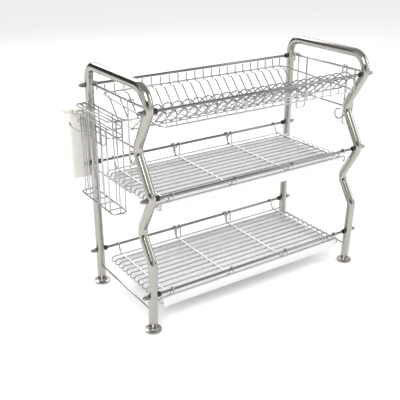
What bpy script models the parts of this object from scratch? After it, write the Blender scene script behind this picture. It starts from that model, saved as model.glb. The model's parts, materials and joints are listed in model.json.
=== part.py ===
"""Three-tier dish drying rack of bent steel tube and welded wire, with two drip trays and side holders.

Two bent-tube side frames stand on round flange feet and are tied together by six threaded rods with
cap nuts. The top tier is a welded wire plate rack, the two lower tiers are wire shelves that hook over
the rods and carry a sliding drip tray. A wire cutlery basket with a plastic cup hangs on the left rail
and a wire chopping board holder hangs on the right rail.

Metres, +Z up, the front faces -Y. Lengths are laid out in the rack's own frame: X = 0 midway between
the side frames, Y = 0 on the rear legs, Z = 0 on the table. The empty rack_origin then moves everything
so that the origin is the centre of the bounding box's base.
"""

import math

import bmesh
import bpy
from mathutils import Matrix, Vector

# Side frames
FRAME_SPACING = 0.541
FRAME_HEIGHT = 0.515
TUBE_RADIUS = 0.0095
TUBE_WALL = 0.0011
TOP_REACH = 0.247
REAR_BEND_INSIDE = 0.0225
FRONT_BEND_INSIDE = 0.0275
ELBOW_INSIDE = 0.0165
TOP_ELBOW_INSIDE = 0.0035
ELBOW_1_BACK = 0.198
ELBOW_1_LIFT = 0.001
KNEE_REACH = 0.2505
ELBOW_2_BACK = 0.204
ELBOW_2_HEIGHT = 0.214
ANKLE_REACH = 0.2445
ANKLE_HEIGHT = 0.155
FOOT_REACH = 0.238
TOP_ELBOW_DROP = 0.001
DRILL_OVERRUN = 0.004

# Feet
FLANGE_RADIUS = 0.0175
FLANGE_THICK = 0.004
SPIGOT_LENGTH = 0.014
SPIGOT_TIP = 0.8
SPIGOT_CHAMFER = 0.002
FLANGE_CHAMFER = 0.001

# Tiers and the rods that carry them
HANDLE_RISE = 0.051
MIDDLE_TIER = 0.294
BOTTOM_TIER = 0.083
ROD_RADIUS = 0.003
CAP_NUT_RADIUS = 0.0052
CAP_NUT_LENGTH = 0.014
CAP_NUT_GRIP = 0.007
CAP_NUT_CROWN = 0.7
CAP_NUT_CROWN_DROP = 0.001
CAP_NUT_SHOULDER = 0.004
COLLAR_RADIUS = 0.0056
COLLAR_LENGTH = 0.007

# Side wires on each frame
RAIL_RADIUS = 0.0024
RAIL_RISE = 0.004
BRACE_RADIUS = 0.002
LOWER_BRACE_HEIGHT = 0.0435
CURL_RADIUS = 0.012
CURL_DROP = 0.022
CURL_STANDOFF = 0.021

# Plate rack
PLATE_WIRE = 0.0015
RIM_WIRE = 0.0018
PLATE_PITCH = 0.0225
RIM_SIDE_INSET = 0.006
PLATE_SIDE_ROOM = 0.005
RIM_CORNER = 0.012
REAR_RIM_DROP = 0.023
FRONT_RIM_DROP = 0.033
TROUGH_DROP = 0.070
TROUGH_REAR = 0.058
TROUGH_FRONT = 0.118
CREST_BACK = 0.029
CREST_RISE = 0.003
ARCH_BACK = 0.038
ARCH_BEND = 0.006
ARCH_FLAT = 0.010
ARCH_TOP_DROP = 0.0015
ARCH_OVERHANG = 0.003
SHOULDER_DROP = 0.003
SHOULDER_REACH = 0.018
SHOULDER_BEND = 0.006
TROUGH_BEND = 0.008
CREST_BEND = 0.010

# Wire shelves
SHELF_WIRE = 0.0015
SHELF_CROSS_WIRE = 0.0016
SHELF_CROSS_INSET = 0.025
SHELF_PITCH = 0.0178
SHELF_REAR_WIRE = 0.016
SHELF_FRONT_ROOM = 0.011
SHELF_DROP = 0.018
SHELF_COLLAR_ROOM = 0.0022
HAIRPIN_RADIUS = 0.007
HAIRPIN_LEG = 0.007
HOOK_DROP = 0.005
CLIP_OFFSET = 0.011
CLIP_WIDTH = 0.012
CLIP_DROP = 0.024

# Drip trays
TRAY_SHEET = 0.0015
TRAY_DEPTH = 0.011
TRAY_REAR_GAP = 0.0085
TRAY_FOOT_CORNER = 0.008

# Cutlery basket on the left rail
BASKET_WIRE = 0.0019
BASKET_THIN_WIRE = 0.0015
BASKET_WIDTH = 0.031
BASKET_LENGTH = 0.150
BASKET_REAR = 0.024
BASKET_LEG_ROOM = 0.004
BASKET_TOP_DROP = 0.034
BASKET_RING_1_DROP = 0.015
BASKET_RING_2_DROP = 0.032
BASKET_HEIGHT = 0.188
BASKET_CORNER = 0.008
BASKET_BARS = 6
BASKET_BAR_PITCH = 0.0226
HANGER_HEIGHT = 0.148
HANGER_LINK_DROP = 0.134
HANGER_LINK_LEAN = 0.010
HANGER_STANDOFF = 0.0065
HOOK_TIP = 0.0125
SIDE_BAR_STANDOFF = 0.006
SIDE_BAR_DROP = 0.048
SIDE_BAR_REAR = 0.002
CUP_ARM_DROP = 0.024
CUP_ARM_BEHIND_LEG = 0.001

# Utensil cup behind the basket
CUP_WIDTH = 0.054
CUP_DEPTH = 0.038
CUP_HEIGHT = 0.146
CUP_WALL = 0.0018
CUP_CORNER = 0.008
CUP_TAPER = 0.93
CUP_LIP = 0.0022
CUP_LIP_HEIGHT = 0.008
CUP_HOOK_WIDTH = 0.012

# Chopping board holder on the right rail
HOLDER_WIRE = 0.002
HOLDER_WIDTH = 0.028
HOLDER_REAR = 0.024
HOLDER_LEG_ROOM = 0.0005
HOLDER_DROP = 0.135
HOLDER_TOP_DROP = 0.010
HOLDER_CORNER = 0.006
HOLDER_RAIL_OFFSET = 0.0004

# Fits
GAP = 0.0003
ROD_CLEARANCE = 0.0003
SLIDE_CLEARANCE = 0.002
TRAY_FACE_CLEARANCE = 0.0014
BAR_INSET = 0.0008
STRAIGHT_SHARE = 0.99
FRAME_STRAIGHT_SHARE = 0.955
HOOK_SAG = 0.00046
LEG_SAMPLES = 12
WELD_OVERLAP = 0.0012

# Worked out from the sizes above
FRAME_X = FRAME_SPACING / 2
TOP_TIER = FRAME_HEIGHT - HANDLE_RISE
ELBOW_1_HEIGHT = (TOP_TIER + MIDDLE_TIER) / 2 + ELBOW_1_LIFT
BAR_HEIGHT = FRAME_HEIGHT - TUBE_RADIUS
REAR_BEND = TUBE_RADIUS + REAR_BEND_INSIDE
FRONT_BEND = TUBE_RADIUS + FRONT_BEND_INSIDE
ELBOW_BEND = TUBE_RADIUS + ELBOW_INSIDE
TOP_ELBOW_BEND = TUBE_RADIUS + TOP_ELBOW_INSIDE
TUBE_FOOT = FLANGE_THICK + 3 * GAP
RAIL_HEIGHT = TOP_TIER + RAIL_RISE
WIRE_TO_ROD = ROD_RADIUS + GAP
LONG_WIRE_DROP = SHELF_DROP + SHELF_WIRE + SHELF_CROSS_WIRE - WELD_OVERLAP
HAIRPIN_DROP = LONG_WIRE_DROP + 2 * HAIRPIN_RADIUS
TRAY_FLANGE_DROP = HAIRPIN_DROP - SHELF_WIRE - GAP
SHELF_HALF_LENGTH = FRAME_X - TUBE_RADIUS - GAP - COLLAR_LENGTH - SHELF_WIRE - SHELF_COLLAR_ROOM
RIM_HALF_WIDTH = SHELF_HALF_LENGTH - RIM_SIDE_INSET
PLATE_SLOTS = 1 + int(2 * (RIM_HALF_WIDTH - PLATE_SIDE_ROOM) / PLATE_PITCH)
SHELF_CROSS_END = SHELF_HALF_LENGTH - SHELF_CROSS_INSET
SHELF_CROSS_AT = [SHELF_CROSS_END * share for share in (-1, -1 / 3, 1 / 3, 1)]
CLIP_AT = [SHELF_CROSS_AT[1] + CLIP_OFFSET, SHELF_CROSS_AT[2] + CLIP_OFFSET]
TRAY_FRONT_DROP = SHELF_DROP + SHELF_CROSS_WIRE + 3 * GAP
TRAY_HALF = SHELF_HALF_LENGTH - HAIRPIN_RADIUS - SLIDE_CLEARANCE / 2
TRAY_BODY_HALF = SHELF_HALF_LENGTH - HAIRPIN_RADIUS - HAIRPIN_LEG - SLIDE_CLEARANCE
BASKET_TOP = RAIL_HEIGHT - BASKET_TOP_DROP
BASKET_RING_1 = BASKET_TOP - BASKET_RING_1_DROP
BASKET_RING_2 = BASKET_TOP - BASKET_RING_2_DROP
BASKET_BOTTOM = BASKET_TOP - BASKET_HEIGHT
HANGER_BOTTOM = BASKET_TOP - HANGER_HEIGHT
SIDE_BAR_HEIGHT = BASKET_TOP - SIDE_BAR_DROP
CUP_ARM_HEIGHT = BASKET_TOP - CUP_ARM_DROP
HOLDER_BOTTOM = RAIL_HEIGHT - HOLDER_DROP
BASKET_INNER = FRAME_X + TUBE_RADIUS + BASKET_LEG_ROOM
BASKET_OUTER = BASKET_INNER + BASKET_WIDTH
BASKET_FRONT = BASKET_REAR + BASKET_LENGTH
HANGER_X = FRAME_X + HANGER_STANDOFF
SIDE_BAR_X = BASKET_OUTER + SIDE_BAR_STANDOFF
CUP_ARM_REACH = TUBE_RADIUS + CUP_ARM_BEHIND_LEG
CUP_FRONT = CUP_ARM_REACH + BASKET_THIN_WIRE + CUP_WALL + GAP
CUP_CENTRE_X = -(BASKET_OUTER + BASKET_INNER) / 2 + 0.007
CUP_TOP = CUP_ARM_HEIGHT - 0.006
HOLDER_X = FRAME_X + HANGER_STANDOFF
HOLDER_FRONT = ELBOW_1_BACK - TUBE_RADIUS - HOLDER_WIRE - HOLDER_LEG_ROOM

# Bounding box of the whole rack, for the origin
LEFT_EDGE = -max(SIDE_BAR_X + BASKET_THIN_WIRE, -CUP_CENTRE_X + CUP_WIDTH / 2 + CUP_LIP)
HOLDER_EDGE = HOLDER_X + HOLDER_WIDTH + HOLDER_RAIL_OFFSET + HOLDER_WIRE
RIGHT_EDGE = max(HOLDER_EDGE, FRAME_X + TUBE_RADIUS + CAP_NUT_LENGTH + GAP)
REAR_EDGE = CUP_FRONT + CUP_DEPTH + CUP_LIP
FRONT_EDGE = -max(TOP_REACH + TUBE_RADIUS, FOOT_REACH + FLANGE_RADIUS)

for old in list(bpy.data.objects):
    bpy.data.objects.remove(old, do_unlink=True)

rack = bpy.data.collections.new("dish_drying_rack")
helpers = bpy.data.collections.new("cutters")
bpy.context.scene.collection.children.link(rack)
bpy.context.scene.collection.children.link(helpers)

rack_origin = bpy.data.objects.new("rack_origin", None)
rack_origin.location = (-(LEFT_EDGE + RIGHT_EDGE) / 2, -(REAR_EDGE + FRONT_EDGE) / 2, 0)
rack.objects.link(rack_origin)


def principled(name, colour, metallic, roughness):
    """A plain Principled material."""
    made = bpy.data.materials.new(name)
    made.use_nodes = True
    shader = made.node_tree.nodes["Principled BSDF"]
    shader.inputs["Base Color"].default_value = (*colour, 1)
    shader.inputs["Metallic"].default_value = metallic
    shader.inputs["Roughness"].default_value = roughness
    return made


BRUSHED_TUBE = principled("brushed_tube", (0.62, 0.61, 0.58), 1.0, 0.28)
POLISHED_WIRE = principled("polished_wire", (0.68, 0.68, 0.68), 1.0, 0.18)
DARK_ROD = principled("dark_rod", (0.45, 0.45, 0.46), 1.0, 0.25)
BLACK_COLLAR = principled("black_collar", (0.03, 0.03, 0.03), 0.0, 0.5)
WHITE_TRAY = principled("white_tray", (0.85, 0.85, 0.84), 0.0, 0.4)
CREAM_CUP = principled("cream_cup", (0.86, 0.84, 0.76), 0.0, 0.35)


def add(obj, mat, parent=rack_origin):
    """Puts a finished piece in the rack's collection with its material."""
    obj.data.materials.clear()
    obj.data.materials.append(mat)
    rack.objects.link(obj)
    obj.parent = parent
    return obj


def helper(obj):
    """Puts a cutter or a piece to be joined in the cutters' collection."""
    helpers.objects.link(obj)
    obj.parent = rack_origin
    obj.hide_render = True
    obj.display_type = "WIRE"
    return obj


def swept(name, paths, radius, sides=4, closed=False, caps=True):
    """A mesh object of one bar of round section along each path; sides is 4, 6 or 8."""
    curve = bpy.data.curves.new(name, "CURVE")
    curve.dimensions = "3D"
    curve.bevel_depth = radius
    curve.bevel_resolution = (sides - 4) // 2
    curve.use_fill_caps = caps and not closed
    for points in paths:
        spline = curve.splines.new("POLY")
        spline.points.add(len(points) - 1)
        for point, place in zip(spline.points, points):
            point.co = (*place, 1)
        spline.use_cyclic_u = closed
    guide = bpy.data.objects.new(name + "_path", curve)
    bpy.context.scene.collection.objects.link(guide)
    graph = bpy.context.evaluated_depsgraph_get()
    mesh = bpy.data.meshes.new_from_object(guide.evaluated_get(graph))
    bpy.data.objects.remove(guide)
    mesh.name = name
    shape = bmesh.new()
    shape.from_mesh(mesh)
    bmesh.ops.remove_doubles(shape, verts=shape.verts, dist=1e-6)
    if caps:
        bmesh.ops.recalc_face_normals(shape, faces=shape.faces)
    shape.to_mesh(mesh)
    shape.free()
    mesh.shade_smooth()
    mesh.set_sharp_from_angle(angle=math.radians(50))
    return bpy.data.objects.new(name, mesh)


def weld(obj, other):
    """Joins a second set of bars to obj, as welding does."""
    helper(other)
    union = obj.modifiers.new("weld_" + other.name, "BOOLEAN")
    union.operation = "UNION"
    union.object = other


def fitted_radii(places, radii, share):
    """The bend radii, made smaller where two bends would take up more than a share of their straight."""
    used = [0.0] * len(places)
    for at in range(1, len(places) - 1):
        half = (places[at - 1] - places[at]).angle(places[at + 1] - places[at]) / 2
        used[at] = radii[at] / math.tan(half)
    shares = []
    for at in range(len(places) - 1):
        room = (places[at + 1] - places[at]).length * share
        taken = used[at] + used[at + 1]
        shares.append(room / taken if taken > room else 1)
    before, after = [1, *shares], [*shares, 1]
    return [radius * min(pair) for radius, *pair in zip(radii, before, after)]


def filleted(corners, steps=4, share=STRAIGHT_SHARE):
    """The points of a path through (place, radius) corners, each corner rounded by an arc."""
    places = [Vector(place) for place, _ in corners]
    radii = fitted_radii(places, [radius for _, radius in corners], share)
    made = [places[0]]
    for before, radius, corner, after in zip(places, radii[1:-1], places[1:-1], places[2:]):
        back = (before - corner).normalized()
        ahead = (after - corner).normalized()
        half = back.angle(ahead) / 2
        if radius == 0 or half > math.radians(89):
            made.append(corner)
            continue
        centre = corner + (back + ahead).normalized() * radius / math.sin(half)
        start = corner + back * radius / math.tan(half)
        end = corner + ahead * radius / math.tan(half)
        first = start - centre
        turn = first.angle(end - centre)
        axis = first.cross(end - centre).normalized()
        for step in range(steps + 1):
            made.append(centre + Matrix.Rotation(turn * step / steps, 3, axis) @ first)
    made.append(places[-1])
    return made


def ring(corners, radius, steps=3):
    """The points of a closed loop with every corner rounded."""
    closed = [corners[-1], *corners, corners[0]]
    path = filleted([(place, radius) for place in closed], steps)
    return path[1:-1]


def side_path(x, corners, steps=4, share=STRAIGHT_SHARE):
    """A path in the plane of a given x, from (y, z, radius) corners."""
    return filleted([((x, y, z), radius) for y, z, radius in corners], steps, share)


def turned(name, profile, steps):
    """A turned piece about Z from a (radius, z) profile that runs from top to bottom outside."""
    mesh = bpy.data.meshes.new(name)
    mesh.from_pydata([(r, 0, z) for r, z in profile], [(i, i + 1) for i in range(len(profile) - 1)], [])
    obj = bpy.data.objects.new(name, mesh)
    spin = obj.modifiers.new("turn", "SCREW")
    spin.steps = spin.render_steps = steps
    spin.use_merge_vertices = True
    spin.merge_threshold = 1e-5
    spin.use_smooth_shade = False
    return obj


def box(name, low, high):
    """A box between two corners."""
    mesh = bpy.data.meshes.new(name)
    shape = bmesh.new()
    bmesh.ops.create_cube(shape, size=1)
    size = [b - a for a, b in zip(low, high)]
    centre = [(a + b) / 2 for a, b in zip(low, high)]
    bmesh.ops.scale(shape, vec=size, verts=shape.verts)
    bmesh.ops.translate(shape, vec=centre, verts=shape.verts)
    shape.to_mesh(mesh)
    shape.free()
    return bpy.data.objects.new(name, mesh)


def round_uprights(obj, radius):
    """Rounds a box's four upright edges."""
    shape = bmesh.new()
    shape.from_mesh(obj.data)
    upright = [e for e in shape.edges if abs((e.verts[0].co - e.verts[1].co).z) > 1e-6]
    bmesh.ops.bevel(shape, geom=upright, offset=radius, segments=3, profile=0.5, affect="EDGES")
    shape.to_mesh(obj.data)
    shape.free()


def frame_corners():
    """The (y, z, bend radius) corners of a side frame's centreline, from rear foot to front foot."""
    return [
        (0, TUBE_FOOT, 0),
        (0, BAR_HEIGHT, REAR_BEND),
        (-TOP_REACH, BAR_HEIGHT, FRONT_BEND),
        (-TOP_REACH, TOP_TIER - TOP_ELBOW_DROP, TOP_ELBOW_BEND),
        (-ELBOW_1_BACK, ELBOW_1_HEIGHT, ELBOW_BEND),
        (-KNEE_REACH, MIDDLE_TIER, ELBOW_BEND),
        (-ELBOW_2_BACK, ELBOW_2_HEIGHT, ELBOW_BEND),
        (-ANKLE_REACH, ANKLE_HEIGHT, ELBOW_BEND),
        (-FOOT_REACH, TUBE_FOOT, 0),
    ]


FRAME_LINE = side_path(0, frame_corners(), 3, FRAME_STRAIGHT_SHARE)
FRONT_LINE = [point for point in FRAME_LINE if point.y < -TOP_REACH / 2]


def front_leg(height):
    """The front leg's y and its slope (dy/dz) at a height."""
    for upper, lower in zip(FRONT_LINE, FRONT_LINE[1:]):
        if upper.z >= height >= lower.z:
            slope = (upper.y - lower.y) / (upper.z - lower.z)
            return lower.y + slope * (height - lower.z), slope
    raise ValueError(f"the front leg has no point at {height}")


def behind_leg(height, radius):
    """The y where a wire of the given height and radius ends, just behind the front leg."""
    ends = []
    for level in (height - radius, height, height + radius):
        y, slope = front_leg(level)
        ends.append(y + TUBE_RADIUS * math.hypot(1, slope) + GAP)
    # Near a bend, the leg above or below the wire may stand further back than the leg beside it.
    for step in range(-LEG_SAMPLES, LEG_SAMPLES + 1):
        away = TUBE_RADIUS * step / LEG_SAMPLES
        y = front_leg(height + away + math.copysign(radius, away))[0]
        ends.append(y + math.sqrt(TUBE_RADIUS**2 - away**2) + GAP)
    return max(ends)


ROD_PLACES = {
    "top_rear_rod": (0, TOP_TIER),
    "top_front_rod": (front_leg(TOP_TIER)[0], TOP_TIER),
    "middle_rear_rod": (0, MIDDLE_TIER),
    "middle_front_rod": (front_leg(MIDDLE_TIER)[0], MIDDLE_TIER),
    "bottom_rear_rod": (0, BOTTOM_TIER),
    "bottom_front_rod": (front_leg(BOTTOM_TIER)[0], BOTTOM_TIER),
}


def shelf_rows():
    """The y of each long wire of a shelf; both shelves take as many as fit behind the nearer front rod."""
    front = -max(ROD_PLACES[name][0] for name in ("middle_front_rod", "bottom_front_rod"))
    count = 1 + int((front - SHELF_FRONT_ROOM - SHELF_REAR_WIRE) / SHELF_PITCH)
    return [-(SHELF_REAR_WIRE + SHELF_PITCH * row) for row in range(count)]


SHELF_ROWS = shelf_rows()
TRAY_FRONT = -SHELF_ROWS[-1] + SHELF_WIRE + TRAY_FACE_CLEARANCE


def make_side_frame(name, x):
    """One bent tube with a hole across it for each rod."""
    path = side_path(x, frame_corners(), 3, FRAME_STRAIGHT_SHARE)
    tube = swept(name, [path], TUBE_RADIUS, sides=8, caps=False)
    wall = tube.modifiers.new("wall", "SOLIDIFY")
    wall.thickness = TUBE_WALL
    wall.offset = -1
    reach = TUBE_RADIUS + DRILL_OVERRUN
    drills = [[(x - reach, y, z), (x + reach, y, z)] for y, z in ROD_PLACES.values()]
    bores = helper(swept(name + "_bores", drills, ROD_RADIUS + ROD_CLEARANCE, sides=8))
    cut = tube.modifiers.new("rod_holes", "BOOLEAN")
    cut.operation = "DIFFERENCE"
    cut.object = bores
    return add(tube, BRUSHED_TUBE)


def make_feet():
    """A round flange foot with a spigot up inside each leg."""
    top = FLANGE_THICK
    spigot = (TUBE_RADIUS - TUBE_WALL) * math.cos(math.pi / 8) - 3 * GAP
    profile = [
        (0, top + SPIGOT_LENGTH),
        (spigot * SPIGOT_TIP, top + SPIGOT_LENGTH),
        (spigot, top + SPIGOT_LENGTH - SPIGOT_CHAMFER),
        (spigot, top),
        (FLANGE_RADIUS - FLANGE_CHAMFER, top),
        (FLANGE_RADIUS, top - FLANGE_CHAMFER),
        (FLANGE_RADIUS, 0),
        (0, 0),
    ]
    foot = turned("flange_foot", profile, 16)
    for side, x in (("left", -FRAME_X), ("right", FRAME_X)):
        for end, y in (("rear", 0), ("front", -FOOT_REACH)):
            copy = foot.copy()
            copy.name = f"{side}_{end}_foot"
            copy.location = (x, y, 0)
            add(copy, BRUSHED_TUBE)
    bpy.data.objects.remove(foot)


def make_rods():
    """Six rods through the frames, each with a collar inside and a cap nut outside at both ends."""
    outside = FRAME_X + TUBE_RADIUS + GAP
    inside = FRAME_X - TUBE_RADIUS - GAP
    reach = outside + CAP_NUT_GRIP
    bore = ROD_RADIUS + ROD_CLEARANCE
    nut = turned(
        "cap_nut",
        [
            (0, CAP_NUT_LENGTH),
            (CAP_NUT_RADIUS * CAP_NUT_CROWN, CAP_NUT_LENGTH - CAP_NUT_CROWN_DROP),
            (CAP_NUT_RADIUS, CAP_NUT_LENGTH - CAP_NUT_SHOULDER),
            (CAP_NUT_RADIUS, 0),
            (bore, 0),
            (bore, CAP_NUT_GRIP + GAP),
            (0, CAP_NUT_GRIP + GAP),
        ],
        8,
    )
    half = COLLAR_LENGTH / 2
    collar = turned(
        "rod_collar",
        [(bore, half), (COLLAR_RADIUS, half), (COLLAR_RADIUS, -half), (bore, -half), (bore, half)],
        8,
    )
    for name, (y, z) in ROD_PLACES.items():
        rod = swept(name, [[(-reach, y, z), (reach, y, z)]], ROD_RADIUS, sides=8)
        add(rod, DARK_ROD)
        for side, sign in (("left", -1), ("right", 1)):
            cap = nut.copy()
            cap.name = f"{side}_{name.replace('_rod', '_cap_nut')}"
            cap.location = (sign * outside, y, z)
            cap.rotation_euler = (0, sign * math.pi / 2, 0)
            add(cap, DARK_ROD)
            ring_piece = collar.copy()
            ring_piece.name = f"{side}_{name.replace('_rod', '_collar')}"
            ring_piece.location = (sign * (inside - half), y, z)
            ring_piece.rotation_euler = (0, sign * math.pi / 2, 0)
            add(ring_piece, BLACK_COLLAR)
    for piece in (nut, collar):
        bpy.data.objects.remove(piece)


def make_side_wires(side, x):
    """The rail, the two braces and the curled hook of one side frame."""
    behind_rear = -TUBE_RADIUS - GAP
    for name, height, radius in (
        ("rail", RAIL_HEIGHT, RAIL_RADIUS),
        ("upper_brace", ELBOW_1_HEIGHT, BRACE_RADIUS),
        ("lower_brace", LOWER_BRACE_HEIGHT, BRACE_RADIUS),
    ):
        ends = [(x, behind_rear, height), (x, behind_leg(height, radius), height)]
        add(swept(f"{side}_{name}", [ends], radius, sides=8), POLISHED_WIRE)
    height = ELBOW_1_HEIGHT - CURL_DROP
    start = behind_leg(height, BRACE_RADIUS)
    centre = start + CURL_STANDOFF
    path = [(x, start, height)]
    for degrees in range(200, 461, 26):
        angle = math.radians(degrees)
        path.append((x, centre + CURL_RADIUS * math.cos(angle), height + CURL_RADIUS * math.sin(angle)))
    add(swept(f"{side}_curled_hook", [path], BRACE_RADIUS, sides=6), POLISHED_WIRE)


def make_plate_rack():
    """The welded top tier: plate wires, front arches, two trough wires and a rim loop."""
    front = -ROD_PLACES["top_front_rod"][0]
    wire_top = TOP_TIER - WIRE_TO_ROD - PLATE_WIRE
    trough = TOP_TIER - TROUGH_DROP
    shoulder = TOP_TIER - REAR_RIM_DROP - SHOULDER_DROP
    crest = front - CREST_BACK
    rest = WIRE_TO_ROD + PLATE_WIRE
    plate_wire = [
        (0, wire_top, 0),
        (0, shoulder, SHOULDER_BEND),
        (-SHOULDER_REACH, shoulder, SHOULDER_BEND),
        (-TROUGH_REAR, trough, TROUGH_BEND),
        (-TROUGH_FRONT, trough, TROUGH_BEND),
        (-crest + 0.012, TOP_TIER - 0.003, CREST_BEND),
        (-crest - 0.006, TOP_TIER + CREST_RISE + 0.002, CREST_BEND),
        (-front + rest * math.cos(math.radians(20)), TOP_TIER - rest * math.sin(math.radians(20)), 0),
    ]
    arch_foot = TOP_TIER - FRONT_RIM_DROP
    picket = front + ARCH_OVERHANG
    arch = [
        (-picket, arch_foot - 0.0005, 0),
        (-picket, wire_top - ARCH_TOP_DROP, ARCH_BEND),
        (-front + ARCH_FLAT, wire_top - ARCH_TOP_DROP, ARCH_BEND),
        (-front + ARCH_BACK, arch_foot, 0),
    ]
    spread = [(slot - (PLATE_SLOTS - 1) / 2) * PLATE_PITCH for slot in range(PLATE_SLOTS)]
    body = swept("plate_rack", [side_path(x, plate_wire, 1) for x in spread], PLATE_WIRE)
    arches = swept("plate_rack_arches", [side_path(x, arch, 1) for x in spread], PLATE_WIRE)
    side = spread[-1] + PLATE_SIDE_ROOM
    trough_wires = [
        [(-side, -y, z), (side, -y, z)]
        for y, z in (
            (TROUGH_REAR, trough - WELD_OVERLAP),
            (TROUGH_FRONT, trough - WELD_OVERLAP),
            (front - ARCH_BACK, arch_foot - WELD_OVERLAP),
        )
    ]
    rear_rim = TOP_TIER - REAR_RIM_DROP
    rim = ring(
        [
            (-RIM_HALF_WIDTH, WELD_OVERLAP, rear_rim),
            (RIM_HALF_WIDTH, WELD_OVERLAP, rear_rim),
            (RIM_HALF_WIDTH, -picket + WELD_OVERLAP, arch_foot),
            (-RIM_HALF_WIDTH, -picket + WELD_OVERLAP, arch_foot),
        ],
        RIM_CORNER,
    )
    weld(body, swept("plate_rack_rim", [rim], RIM_WIRE, closed=True))
    weld(body, swept("plate_rack_long_wires", trough_wires, PLATE_WIRE))
    weld(body, arches)
    return add(body, POLISHED_WIRE)


def rod_hook(rod_y, tier, wire, turns):
    """Points of a hook round a rod through the given angles from +Y; its flats stay clear of the rod."""
    radius = WIRE_TO_ROD + wire
    widest = math.degrees(2 * math.acos(1 - HOOK_SAG / radius))
    degrees = [turns[0]]
    for start, end in zip(turns, turns[1:]):
        steps = math.ceil((end - start) / widest)
        degrees += [start + (end - start) * step / steps for step in range(1, steps + 1)]
    return [
        (rod_y + radius * math.cos(math.radians(a)), tier + radius * math.sin(math.radians(a)), 0)
        for a in degrees
    ]


def make_shelf(name, tier, front):
    """A wire shelf: long wires with hairpin ends under four cross wires that hook over the rods."""
    hairpin = HAIRPIN_RADIUS
    end = SHELF_HALF_LENGTH
    low = tier - LONG_WIRE_DROP
    leg = end - hairpin - HAIRPIN_LEG
    long_wires = []
    for y in SHELF_ROWS:
        corners = [
            ((-leg, y, low - 2 * hairpin), 0),
            ((-end, y, low - 2 * hairpin), hairpin * 0.98),
            ((-end, y, low), hairpin * 0.98),
            ((end, y, low), hairpin * 0.98),
            ((end, y, low - 2 * hairpin), hairpin * 0.98),
            ((leg, y, low - 2 * hairpin), 0),
        ]
        long_wires.append(filleted(corners, 1))
    body = swept(name, long_wires, SHELF_WIRE)
    plane = tier - SHELF_DROP
    reach = WIRE_TO_ROD + SHELF_CROSS_WIRE
    rear_hook = rod_hook(0, tier, SHELF_CROSS_WIRE, (0, 50, 130, 180))
    rear_hook.insert(0, (reach, tier - HOOK_DROP / 2, 0))
    front_hook = rod_hook(-front, tier, SHELF_CROSS_WIRE, (20, 170))
    path = [
        *rear_hook,
        (SHELF_ROWS[0] + 0.004, plane, 0),
        (SHELF_ROWS[-1] - 0.003, plane, 0),
        *front_hook,
        (-front - reach, tier - HOOK_DROP, 0),
    ]
    cross = swept(name + "_cross", [side_path(x, path, 2) for x in SHELF_CROSS_AT], SHELF_CROSS_WIRE)
    weld(body, cross)
    return add(body, POLISHED_WIRE)


def make_clips(tier_name, tier):
    """Double hooks over the rear rod that steady the shelf."""
    for number, x in enumerate(CLIP_AT, 1):
        reach = WIRE_TO_ROD + SHELF_WIRE
        halves = []
        for sign in (-1, 1):
            offset = x + sign * CLIP_WIDTH / 2
            hook = rod_hook(0, tier, SHELF_WIRE, (0, 45, 90, 135, 180))
            side = [(offset, y, z) for y, z, _ in hook]
            halves.append([(offset, reach, tier - 0.008), *side, (offset, -reach, tier - CLIP_DROP)])
        path = [*reversed(halves[0]), *halves[1]]
        clip = swept(f"{tier_name}_rear_clip_{number}", [path], SHELF_WIRE, sides=4)
        add(clip, POLISHED_WIRE)


def make_tray(name, tier):
    """A shallow drip tray with side flanges that slide in the shelf's hairpins, and a tall front."""
    rear = -TRAY_REAR_GAP
    front = -TRAY_FRONT
    flange = tier - TRAY_FLANGE_DROP + TRAY_SHEET
    floor = flange - TRAY_DEPTH
    tray = box(name, (-TRAY_BODY_HALF, front, floor), (TRAY_BODY_HALF, rear, flange))
    rims = box(name + "_rims", (-TRAY_HALF, front, flange - TRAY_SHEET), (TRAY_HALF, rear, flange))
    face = box(
        name + "_face",
        (-TRAY_HALF, front - TRAY_SHEET, floor),
        (TRAY_HALF, front, tier - TRAY_FRONT_DROP),
    )
    hollow = box(
        name + "_hollow",
        (-TRAY_BODY_HALF + TRAY_SHEET, front + TRAY_SHEET, floor + TRAY_SHEET),
        (TRAY_BODY_HALF - TRAY_SHEET, rear - TRAY_SHEET, flange + 0.01),
    )
    for corner in (tray, hollow):
        round_uprights(corner, TRAY_FOOT_CORNER)
    # The face reaches a little into the body, so that the two join.
    face.data.transform(Matrix.Translation((0, TRAY_SHEET / 2, 0)))
    weld(tray, rims)
    weld(tray, face)
    helper(hollow)
    cut = tray.modifiers.new("hollow", "BOOLEAN")
    cut.operation = "DIFFERENCE"
    cut.object = hollow
    return add(tray, WHITE_TRAY)


def rail_hook(x, y, side, wire, tip):
    """Points of a hook over a side rail, from its inner tip over the rail to the outer drop at x."""
    across = FRAME_X * side
    radius = abs(x - across)
    top = RAIL_HEIGHT + RAIL_RADIUS + GAP + wire
    return [
        ((across - side * radius, y, RAIL_HEIGHT - tip), 0),
        ((across - side * radius, y, top), radius * 0.55),
        ((x, y, top), radius * 0.55),
    ]


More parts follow.
